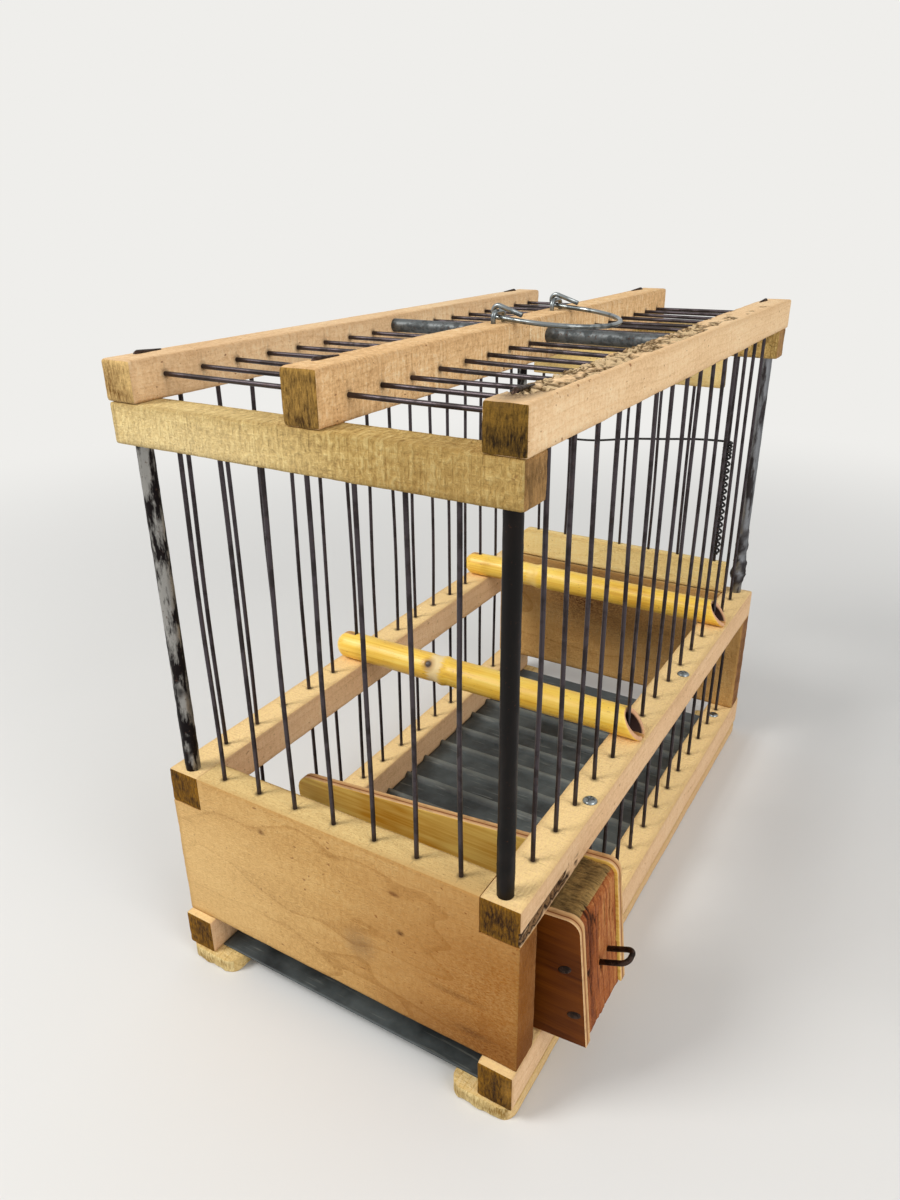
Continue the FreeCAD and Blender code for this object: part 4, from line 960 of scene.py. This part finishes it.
def plate(name, outline, low_y, high_y, material, turn):
    """An outline in XZ pushed from one Y to another, with a fine bevel and a marked rim."""
    shape = bmesh.new()
    rim = shape.faces.layers.float.new("rim")
    low, high = [[shape.verts.new((x, y, z)) for x, z in outline] for y in (low_y, high_y)]
    shape.faces.new(low)
    shape.faces.new(high[::-1])
    for i in range(len(outline)):
        after = (i + 1) % len(outline)
        shape.faces.new((low[i], high[i], high[after], low[after]))[rim] = 1.0
    bmesh.ops.recalc_face_normals(shape, faces=shape.faces)
    edges = [edge for edge in shape.edges if len({face[rim] for face in edge.link_faces}) == 2]
    bmesh.ops.bevel(shape, geom=edges, offset=0.35 * MM, segments=2, affect="EDGES", profile=0.5)
    return finished(name, shape, material, turn, closed=False)


CORNER_R, SHOULDER_R = 4.5 * MM, 7 * MM
outline = [(INNER_X, FLOOR_Z), (OUTER_X, FLOOR_Z)]
outline += arc_points((OUTER_X - CORNER_R, TOP_Z - CORNER_R), CORNER_R, 0, 90)
outline += arc_points((INNER_X + SHOULDER_R, TOP_Z - SHOULDER_R), SHOULDER_R, 90, 180)
for node, low_y, ply in (("drawer_front_side", DRAWER_FRONT, front_ply),
                         ("drawer_rear_side", DRAWER_BACK - PLY, rear_ply)):
    piece = plate(node + "_ply", outline, low_y, low_y + PLY, ply, to_tilted)
    place_piece(piece, "drawer", "plywood", node)

# %% [markdown]
# The outer block closes the drawer.  It is an old piece of split fir with its grain upright, dark
# cracks and a mossy rough top.  The inner block and the floor are a darker brown.

# %% Drawer blocks and floor
low = Vector((BLOCK_X, DRAWER_FRONT + PLY, FLOOR_Z))
high = Vector((OUTER_X - 1 * MM, DRAWER_BACK - PLY, TOP_Z - 1 * MM))
block = strip("drawer_outer_block_fir", low, high, block_wood, "Z", cell=0.7, rounded=0.5, wave=0.6,
              rough=0.35, chop=1.8)
round_corner(block, (0, 2), (high.x, high.z), (1, 1), CORNER_R)
cracks = []
for vertex in block.data.vertices:
    co = vertex.co
    split = noise.ridged_multi_fractal(Vector((co.x * 60, co.y * 240, co.z * 24)), 0.9, 2.1, 3, 1.0, 2.0)
    cracks.append(clamp((split - 1.45) * 3.5) if co.x > high.x - 2 * MM else 0.0)
    co.x -= 1.6 * MM * cracks[-1]
block.data.attributes.new("torn", "FLOAT", "POINT").data.foreach_set("value", cracks)
inner = strip("drawer_inner_block_fir", (INNER_X, low.y, FLOOR_Z + 4 * MM),
              (INNER_X + 8.5 * MM, high.y, FLOOR_Z + 38 * MM), inner_wood, "Z", cell=1.5)
base = strip("drawer_floor_ply", (INNER_X, low.y, FLOOR_Z), (BLOCK_X, high.y, FLOOR_Z + 4 * MM), inner_wood,
             "X", cell=2.0, rounded=0.4)
for piece, slot, node in ((block, "block_wood", "drawer_outer_block"),
                          (inner, "block_wood", "drawer_inner_block"), (base, "plywood", "drawer_floor")):
    piece.data.transform(to_tilted)
    place_piece(piece, "drawer", slot, node)

# %% [markdown]
# The pull is a wire bent into a square loop that slopes up out of the block.  The nails in the
# drawer's sides were driven at a slant, so their heads show as ovals.

# %% Drawer pull and nails
rise = math.tan(math.radians(18.0))
seat_x, tip_x = OUTER_X - 8 * MM, OUTER_X + 9 * MM
leg_z = FLOOR_Z + 22.5 * MM
middle_y = (DRAWER_FRONT + DRAWER_BACK) / 2 + 1.9 * MM
corners = []
for x, aside in ((seat_x, -3.5), (tip_x, -3.5), (tip_x, 3.5), (seat_x, 3.5)):
    corners.append(to_tilted @ Vector((x, middle_y + aside * MM, leg_z + (x - OUTER_X + 1 * MM) * rise)))
pull = sweep("drawer_pull_iron", bent(corners, 2.6 * MM, 10), 1.0 * MM, iron, 16)
place_piece(pull, "drawer", "iron_wire", "drawer_pull")


def lathe(name, profile, material, steps=20, turn=None):
    """A profile of (radius, height) pairs, in millimetres, turned about Z. It starts and ends at radius 0."""
    shape = bmesh.new()
    rings = [[shape.verts.new((radius * MM * math.cos(t), radius * MM * math.sin(t), height * MM))
              for t in (turns_of(steps) if radius else [0.0])] for radius, height in profile]
    bridge(shape, rings)
    return finished(name, shape, material, turn)


SIDE_NAIL = ((0, -0.12), (1.0, -0.1), (1.42, 0.05), (1.3, 0.5), (0.8, 0.7), (0.8, 14), (0, 15))
nails = []
for level in range(2):
    for x in (OUTER_X - (3.8 + 2.4 * level) * MM, INNER_X + 4.25 * MM):
        for y, inward in ((DRAWER_FRONT, 1), (DRAWER_BACK, -1)):
            lay = Matrix.Translation(Vector((x, y, FLOOR_Z + (13 + 18.5 * level) * MM)))
            lay = lay @ Matrix.Rotation(math.radians(-20 - 8 * level), 4, "Y")
            lay = lay @ Matrix.Diagonal((2.1, 1, 1.2, 1))
            lay = lay @ Matrix.Rotation(math.radians(-90 * inward), 4, "X")
            nails.append(lathe("drawer_nail", SIDE_NAIL, iron, 14, to_tilted @ lay))
place_piece(joined("drawer_nails_iron", nails), "drawer", "nail_steel", "drawer_nails")

# %% [markdown]
# ## Floor tray
#
# The tray is a sheet of dark grey metal pressed into low ridges, with a highlight painted paler along
# the crests.  It is drawn as rows of points across the cage, lifted at each ridge, and given the sheet's
# thickness.

# %% Sheet finish
def painted_sheet(name, base, crest):
    """Slate grey sheet with dust, scratches and a highlight painted paler along the crests."""
    material, add, coat = new_material(name)
    place = add("TexCoord").outputs["Object"]
    cloud = add("TexNoise", place, Scale=30.0, Detail=5.0, Roughness=0.65)
    scratch = add("TexNoise", add("Mapping", place, Scale=(60, 900, 60)), Scale=1.0, Detail=2.0)
    scratch = add("MapRange", scratch, 0.62, 0.72, 0.0, 0.35)
    tone = add("MixRGB", add("MapRange", cloud, 0.36, 0.66), linear(base[0]), linear(base[1]))
    # The crest mark, broken by the dust noise, paints a highlight along the ridges; scratches add real wear.
    paler_share = add("Math MULTIPLY", add("Attribute", attribute_name="crest").outputs["Fac"], cloud)
    paler_share = add("Math ADD", paler_share, scratch, use_clamp=True)
    coat(Base_Color=add("MixRGB", paler_share, tone, linear(crest)),
         Roughness=add("MapRange", cloud, 0.3, 0.7, 0.5, 0.72),
         Normal=add("Bump", Height=cloud, Strength=0.3, Distance=0.3 * MM))
    return material


sheet_paint = painted_sheet("sheet_steel_slate", ("1c2225", "535b5d"), "8c918b")
print("sheet", sheet_paint.name)

# %% Tray
RIDGES, RIDGE_PITCH, THICK, ACROSS, LENGTHWISE = 15, 17.6 * MM, 0.7 * MM, 60, 340
low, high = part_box("floor_tray")
middle_y = (low.y + high.y) / 2
rise = high.z - low.z - THICK
shape = bmesh.new()
crest_layer = shape.verts.layers.float.new("crest")
rows = []
for step in range(LENGTHWISE + 1):
    y = low.y + (high.y - low.y) * step / LENGTHWISE
    index = round((y - middle_y) / RIDGE_PITCH)
    off = abs(y - middle_y - index * RIDGE_PITCH) if abs(index) <= RIDGES // 2 else RIDGE_PITCH
    share = clamp((2.5 * MM - off) / (2.2 * MM))
    row = []
    for column in range(ACROSS + 1):
        x = low.x + (high.x - low.x) * column / ACROSS
        dent = 0.25 * MM * noise.noise(Vector((x * 30, y * 22, 3.0))) * (1 - share)
        z = low.z + 0.25 * MM + 0.75 * rise * share ** 1.2 + max(dent, -0.15 * MM)
        row.append(shape.verts.new((x, y, z)))
        # The crest mark tells the finish where to paint the highlight.
        row[-1][crest_layer] = share ** 4
    rows.append(row)
for row, following in zip(rows, rows[1:]):
    for i in range(ACROSS):
        shape.faces.new((row[i], row[i + 1], following[i + 1], following[i])).smooth = True
tray = finished("floor_tray_sheet", shape, sheet_paint, closed=False)
wall = tray.modifiers.new("thickness", "SOLIDIFY")
wall.thickness = 0.5 * MM
wall.offset = 1.0
place_piece(tray, "tray", "sheet_metal", "floor_tray")

# %% [markdown]
# ## Door
#
# The door is a thick bottom bar and a thin head bar with six wires between, and it swings on the
# seventh upright.  A cross wire is hooked round its first wire, and wound down the pivot wire.

# %% Door bars
low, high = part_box("door_bottom_bar")
bar = strip("door_bottom_bar_wood", low, high, door_wood, "X", cell=1.0, rounded=0.6, rough=0.16)
round_corner(bar, (0, 2), (low.x, high.z), (-1, 1), 6 * MM)
place_piece(bar, "door", "door_wood", "door_bottom_bar")
low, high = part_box("door_head_bar")
bar = strip("door_head_bar_wood", low, high, door_wood, "X", rounded=0.6)
place_piece(bar, "door", "door_wood", "door_head_bar")

# %% Wound wire of the door
TIGHT, WIDE, TIGHT_PITCH, WIDE_PITCH, RAMP = 4, 15, 1.8 * MM, 3.7 * MM, 0.25
COIL_R, THIN_R, PER_TURN, FALL = 1.9 * MM, 0.6 * MM, 24, 9.5 * MM


def coil_drop(turns):
    """How far the coil has come down after some turns: tight at the top, open below, level at its ends."""
    total = TIGHT + WIDE
    slopes = ((0, 0.0), (RAMP, TIGHT_PITCH), (TIGHT, TIGHT_PITCH), (TIGHT + RAMP, WIDE_PITCH),
              (total - RAMP, WIDE_PITCH), (total, 0.0))
    drop = 0.0
    for (start, slope), (stop, next_slope) in zip(slopes, slopes[1:]):
        if turns <= start:
            break
        part = min(turns, stop) - start
        drop += part * slope + (next_slope - slope) * part * part / (2 * (stop - start))
    return drop


coil_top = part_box("door_cross_wire")[1].z - 0.5 * MM
first_x, low_z = door_row["start"], coil_top - FALL
points = [Vector((first_x + 1 * MM, door_y - COIL_R, low_z))]
for step in range(13):
    angle = -math.pi / 2 - math.pi * step / 12
    points.append(Vector((first_x + COIL_R * math.cos(angle), door_y + COIL_R * math.sin(angle), low_z)))
for step in range(1, 24):
    share = step / 24
    x = first_x + 1 * MM + (pivot_x - first_x - 1 * MM) * share
    wave = 0.5 * MM * math.sin(share * math.pi * 5)
    climb = FALL * share * share * (3 - 2 * share)
    points.append(Vector((x, door_y + COIL_R, low_z + climb + wave * (1 - share))))
for step in range(PER_TURN * (TIGHT + WIDE) + 1):
    turns = step / PER_TURN
    angle = math.pi / 2 - 2 * math.pi * turns
    x, y = pivot_x + COIL_R * math.cos(angle), door_y + COIL_R * math.sin(angle)
    points.append(Vector((x, y, coil_top - coil_drop(turns))))
points.append(points[-1] + Vector((1 * MM, 0, 0)))
print("coil points", len(points))
coil = sweep("door_cross_wire_iron", points, THIN_R, black_wire, 8)
place_piece(coil, "door", "iron_wire", "door_cross_wire")

# %% [markdown]
# ## Perches
#
# Each perch is a piece of hollow cane with one node, slotted over a wire at both ends.  Its left
# end is worn round, and its right end is cut on a slant.  The wall is drawn as rings of points from
# the left end to the slant, outside and inside.  The node is a ridge with a pale band and a small
# bud scar, and the inner wall closes there.

# %% Cane finish
def cane_skin(name, node_x, bud, pale):
    """Golden glossy cane with fine streaks, speckles, a bud scar, a raw rim, and painted shade inside its
    bore.

    pale is how pale the band at its node is."""
    material, add, coat = new_material(name)
    along = turned_to_grain(add, "X")
    place = add("TexCoord").outputs["Object"]
    raw = add("Attribute", attribute_name="raw").outputs["Fac"]
    streaks = stretched_noise(add, along, (0.02, 1.2, 1.2), 4.0, 0.6)
    cloud = stretched_noise(add, along, (0.04, 0.1, 0.1), 2.0, 0.5)
    inside = stretched_noise(add, along, (0.2, 1.6, 1.6), 3.0, 0.6)
    specks = stretched_noise(add, along, (0.5, 1.3, 1.3), 2.0, 0.6)
    ragged = add("Math MULTIPLY_ADD", streaks, 7 * MM, add("SeparateXYZ", place))
    band = add("Math ABSOLUTE", add("Math SUBTRACT", ragged, node_x + 0.5 * MM))
    band = add("MapRange", band, 2.2 * MM, 4.2 * MM, pale, 0.0)
    reach = add("VectorMath DISTANCE", place, bud)
    scar = add("MapRange", reach, 1.1 * MM, 2.0 * MM, 1.0, 0.0)
    pith = add("MixRGB", inside, linear("c08a60"), linear("e2b48c"))
    mixed = add("Math MULTIPLY", add("Math ADD", streaks, cloud), 0.5)
    colour = set_stops(add("ValToRGB", mixed), (0.28, 0.5, 0.7), ("cf962c", "f2c84e", "fbe07a"))
    for share, tone in ((add("MapRange", specks, 0.66, 0.74, 0.0, 0.6), linear("8c5422")),
                        (band, linear("ecd8a8")),
                        (add("MapRange", reach, 1.8 * MM, 4.2 * MM, 0.7, 0.0), linear("9c6a2c")),
                        (scar, linear("2c1808")),
                        (add("MapRange", raw, 0.1, 0.5), pith),
                        # The inner wall, marked 1, is painted near black as shade inside the bore.
                        (add("MapRange", raw, 0.6, 1.0), linear("2e1409"))):
        colour = add("MixRGB", share, colour, tone)
    gloss = add("MapRange", raw, 0.0, 1.0, 0.36, 0.85)
    height = add("Math MULTIPLY_ADD", scar, -4.0, streaks)
    coat(Base_Color=colour, Roughness=add("Math MULTIPLY_ADD", band, 0.3, gloss, use_clamp=True),
         Normal=add("Bump", Height=height, Strength=0.35, Distance=0.25 * MM))
    return material


print("cane finish ready")

# %% Perches
CANE_R, BORE_R, WALL, RIM, SLOT_HALF = 6.25 * MM, 4.3 * MM, 1.0 * MM, 0.35 * MM, 1.1 * MM
WORN_DEPTH, WORN_LENGTH, CANE_SIDES, CANE_STEPS = 3.4 * MM, 5.0 * MM, 48, 120
SLANT = 2 * CANE_R * math.tan(math.radians(32.0))


def cane_radius(x, angle, node_x, seed):
    """Outer radius of the cane: slightly uneven, waisted beside the node and swollen at it."""
    away = abs(x - node_x)
    ridge = 0.5 * MM * math.exp(-(away / (1.6 * MM)) ** 2)
    waist = 0.28 * MM * math.exp(-((away - 4.2 * MM) / (2.2 * MM)) ** 2)
    uneven = 0.14 * MM * noise.noise(Vector((x * 18, math.cos(angle) * 0.8, math.sin(angle) * 0.8 + seed)))
    return 6.22 * MM + (ridge - waist) + uneven


def perch(node, body, node_place, seed, bud_turn, pale):
    """One perch. bud_turn is where its bud scar sits, as an angle round the cane from +Y."""
    low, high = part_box(node)
    node_x, y, z = low.x + node_place, (low.y + high.y) / 2, low.z + CANE_R
    shape = bmesh.new()
    raw = shape.verts.layers.float.new("raw")

    def ring(share, radius_of, is_raw):
        made = []
        for angle in turns_of(CANE_SIDES):
            stop = high.x - SLANT * (math.sin(angle) + 1) / 2
            x = low.x + (stop - low.x) * share
            radius = radius_of(x, angle)
            made.append(shape.verts.new((x, y + radius * math.cos(angle), z + radius * math.sin(angle))))
            made[-1][raw] = is_raw
        return made

    def skin(x, angle):
        worn_round = WORN_DEPTH * max(0.0, 1 - (x - low.x) / WORN_LENGTH) ** 2
        return cane_radius(x, angle, node_x, seed) - worn_round

    def lip(x, angle):
        return skin(x, angle) - RIM

    def bore(x, angle):
        open_part = BORE_R * min(1.0, max(0.0, abs(x - node_x) / (2.5 * MM) - 0.4) ** 0.5)
        return max(0.05 * MM, min(open_part, skin(x, angle) - WALL))

    rings = [ring(0.0, lip, 0.5)]
    rings += [ring(0.004 + 0.992 * (step / CANE_STEPS) ** 1.15, skin, 0.0) for step in range(CANE_STEPS + 1)]
    rings += [ring(1.0, lip, 0.5), ring(1.0, bore, 0.5)]
    # The inner wall is marked 1, which the finish paints dark as shade inside the bore.
    rings += [ring(1.0 - step / CANE_STEPS, bore, 1.0) for step in range(1, CANE_STEPS)]
    rings += [ring(0.0, bore, 0.5)]
    bridge(shape, rings + rings[:1])
    bud = (node_x - 6 * MM, y + 6 * MM * math.cos(bud_turn), z + 6 * MM * math.sin(bud_turn))
    piece = finished(node + "_cane", shape, cane_skin(node + "_cane_skin", node_x, bud, pale))
    for start, stop in ((low.x - BEYOND, SLOT_HALF - side_x), (side_x - SLOT_HALF, high.x + BEYOND)):
        cut_box(piece, (start, y - SLOT_HALF, z - 2 * BEYOND), (stop, y + SLOT_HALF, z + 2 * BEYOND), "raw")
    place_piece(piece, body, "cane", node)


perch("near_perch", "perch_near", 58 * MM, 3.0, math.radians(140), 0.85)
perch("far_perch", "perch_far", 47 * MM, 9.0, math.radians(290), 0.2)

# %% [markdown]
# ## Carrying handle
#
# The bail is one wire bent into a half round, with its ends turned back into long closed eyes round
# two staples.  It rests folded to the right, on the top wires.

# %% Staples and bail
BAIL_R, EYE_R, EYE_LONG, REACH, DIP = 0.9 * MM, 2.1 * MM, 9.5 * MM, 36 * MM, 3.2 * MM
STAPLE_HALF, EYE_STEPS, BOW_STEPS = 4 * MM, 24, 48
crowns = []
for node in ("handle_staple_front", "handle_staple_rear"):
    low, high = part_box(node)
    x, y = middle_of(node).xy
    foot, crown = low.z + 0.2 * MM, high.z - BAIL_R
    crowns.append(Vector((x, y, crown)))
    corners = [(x, y + aside, z) for aside, z in ((-STAPLE_HALF, foot), (-STAPLE_HALF, crown),
                                                  (STAPLE_HALF, crown), (STAPLE_HALF, foot))]
    staple = sweep(node + "_wire", bent(corners, 2 * MM), BAIL_R, galvanised, 16)
    place_piece(staple, "cage", "galvanised_wire", node)
dip_turn = Matrix.Rotation(math.asin(DIP / REACH), 4, "Y")


def beside(u, y, v):
    """A point of the bail from its eye: u along it, v above it, turned down by the dip."""
    turned = dip_turn @ Vector((u, 0, v))
    return Vector((crowns[0].x + turned.x, y, crowns[0].z + turned.z))


half = (crowns[1].y - crowns[0].y) / 2
end_v = -EYE_R + 2 * BAIL_R + 0.25 * MM
touch = math.atan2(end_v, EYE_LONG) + math.acos(EYE_R / math.hypot(EYE_LONG, end_v))


def eye(y):
    """The long eye round one staple, from its closed end to where the bow starts."""
    angles = [touch + (1.5 * math.pi - touch) * step / EYE_STEPS for step in range(EYE_STEPS + 1)]
    curl = [beside(EYE_R * math.cos(a), y, EYE_R * math.sin(a)) for a in angles]
    return [beside(EYE_LONG, y, end_v)] + curl


centre_y = (crowns[0].y + crowns[1].y) / 2
bow = []
for step in range(BOW_STEPS + 1):
    angle = -math.pi / 2 + math.pi * step / BOW_STEPS
    bow.append(beside(REACH - half + half * math.cos(angle), centre_y + half * math.sin(angle), -EYE_R))
bail = sweep("handle_bail_wire", eye(crowns[0].y) + bow + eye(crowns[1].y)[::-1], BAIL_R, galvanised, 16)
place_piece(bail, "handle", "galvanised_wire", "handle_bail")

# %% [markdown]
# ## Nails and screws
#
# The nails that tie the top rails come up through the crossbars and were hammered over along the
# rail, so each shows a bent tapering shank.  Six more go straight up through the runners.  Three
# round screw heads shine in the right rails, with a cross cut and a dimple where the driver slipped.

# %% Hammered nails
cross_low, cross_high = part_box("front_crossbar")
foot_y = -(cross_low.y + cross_high.y) / 2 - 4.4 * MM
rng = random.Random(7)
shanks = []
for side in top_woods:
    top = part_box("top_rail_" + side)[1].z
    for end in (-1, 1):
        x, y = middle_of("top_rail_" + side).x - 3.2 * MM, end * foot_y
        swing = rng.uniform(-1.2, 1.2) * MM
        corners = [(x, y, cross_low.z + 0.1 * MM), (x, y, top + 0.35 * MM),
                   (x + swing, y - end * 11 * MM, top + 0.1 * MM)]
        points = bent(corners, 1.4 * MM, 6)
        radii = [2.0, 0.9] + [0.9] * (len(points) - 3) + [0.85, 0.3]
        points.insert(1, points[0] + Vector((0, 0, 0.7 * MM)))
        shanks.append(sweep("shank", points, [radius * MM for radius in radii], iron, 10, squash=0.9))
place_piece(joined("top_rail_nails_iron", shanks), "cage", "nail_steel", "top_rail_nails")

# %% Nails under the runners
low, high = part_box("runner_nails")
INSET = 2.2 * MM
middle_nail = side_row["start"] + (SIDE_COUNT // 2 + 0.5) * side_row["pitch"]
shanks = []
for side in (-1, 1):
    for y, tip in ((low.y + INSET, 33.5), (middle_nail, 15), (high.y - INSET, 33.5)):
        profile = ((0, 0.08), (2.0, 0.1), (2.15, 0.5), (0.9, 0.75), (0.9, tip - 2), (0, tip))
        shanks.append(lathe("shank", profile, iron, 14, Matrix.Translation((side * (high.x - INSET), y, 0))))
place_piece(joined("runner_nails_iron", shanks), "cage", "nail_steel", "runner_nails")

# %% Screws
SCREW = ((0, 0.75), (0.5, 0.8), (0.8, 1.15), (1.5, 1.05), (2.2, 0.7), (2.68, 0.15), (2.68, -0.1),
         (1.35, -0.15), (1.35, -11), (0, -11.9))
rail_high, low_rail_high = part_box("mid_rail_right")[1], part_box("lower_rail_right")[1]
half_length = rail_high.y
screws = []
for x, y, z, turn in ((rail_high.x - 3.8 * MM, 61.8 * MM - half_length, rail_high.z, 0.3),
                      (rail_high.x - 3.8 * MM, 170 * MM - half_length, rail_high.z, 1.0),
                      (rail_high.x - 7.1 * MM, half_length - 24.2 * MM, low_rail_high.z, 0.7)):
    turned = Matrix.Translation((x, y, z)) @ Matrix.Rotation(turn, 4, "Z")
    head = lathe("screw", SCREW, galvanised, 32, turned)
    for wide, deep in ((1.9, 0.22), (0.22, 1.9)):
        cut_box(head, (x - wide * MM, y - deep * MM, z + 0.6 * MM),
                (x + wide * MM, y + deep * MM, z + 3 * MM))
    screws.append(head)
place_piece(joined("rail_screws_zinc", screws), "cage", "zinc_steel", "rail_screws")

# %% [markdown]
# ## Floor and light
#
# The cage stands on a plain pale floor that fades into the same pale backdrop, so no horizon shows.
# One large soft lamp above the left front gives the soft shadow under the boards, a weaker one fills
# from the right, and a pale world lights the rest.

# %% Floor
PAPER = linear("efeeeb")
paper, add, coat = new_material("paper_backdrop_pale")
coat(Base_Color=linear("d8d9da"), Roughness=0.9)
far = add("VectorMath LENGTH", add("TexCoord").outputs["Object"])
far = add("MapRange", far, 0.3, 0.95, interpolation_type="SMOOTHSTEP")
far = add("Math MULTIPLY", far, add("LightPath").outputs["Is Camera Ray"])
paper_nodes = paper.node_tree.nodes
faded = add("MixShader", far, paper_nodes["Principled BSDF"], add("Emission", PAPER, 1.0))
fill(paper.node_tree, paper_nodes["Material Output"], Surface=faded)
shape = bmesh.new()
bmesh.ops.create_grid(shape, x_segments=1, y_segments=1, size=4.0)
floor = finished("floor", shape, paper, closed=False)
print("floor", [round(v, 1) for v in floor.dimensions], "m")

# %% Lamps and world
def lamp(name, place, target, size, power, colour):
    """A round soft lamp that points at a target."""
    data = bpy.data.lights.new(name, "AREA")
    data.shape = "DISK"
    data.size = size
    data.energy = power
    data.color = linear(colour)[:3]
    light = bpy.data.objects.new(name, data)
    light.location = place
    light.rotation_euler = (Vector(target) - Vector(place)).to_track_quat("-Z", "Y").to_euler()
    bpy.context.scene.collection.objects.link(light)
    print(name, power, "W")


lamp("key", (-0.6, -0.75, 1.0), (0, 0, 0.1), 0.5, 10.5, "fffcf6")
lamp("fill", (1.1, -0.35, 0.8), (0, 0, 0.1), 0.9, 8.0, "fffcf8")
world = bpy.data.worlds.new("studio")
bpy.context.scene.world = world
world.use_nodes = True
sky = world.node_tree
add = partial(add_node, sky)
fill(sky, sky.nodes["Background"], linear("f4f3f0"), 0.6)
path = add("LightPath").outputs
direct = add("Math MAXIMUM", path["Is Camera Ray"], path["Is Glossy Ray"])
direct = add("Math MAXIMUM", direct, path["Is Transmission Ray"])
mixed = add("MixShader", direct, sky.nodes["Background"], add("Background", PAPER, 1.0))
fill(sky, sky.nodes["World Output"], Surface=mixed)
bpy.context.scene.view_settings.view_transform = "Standard"
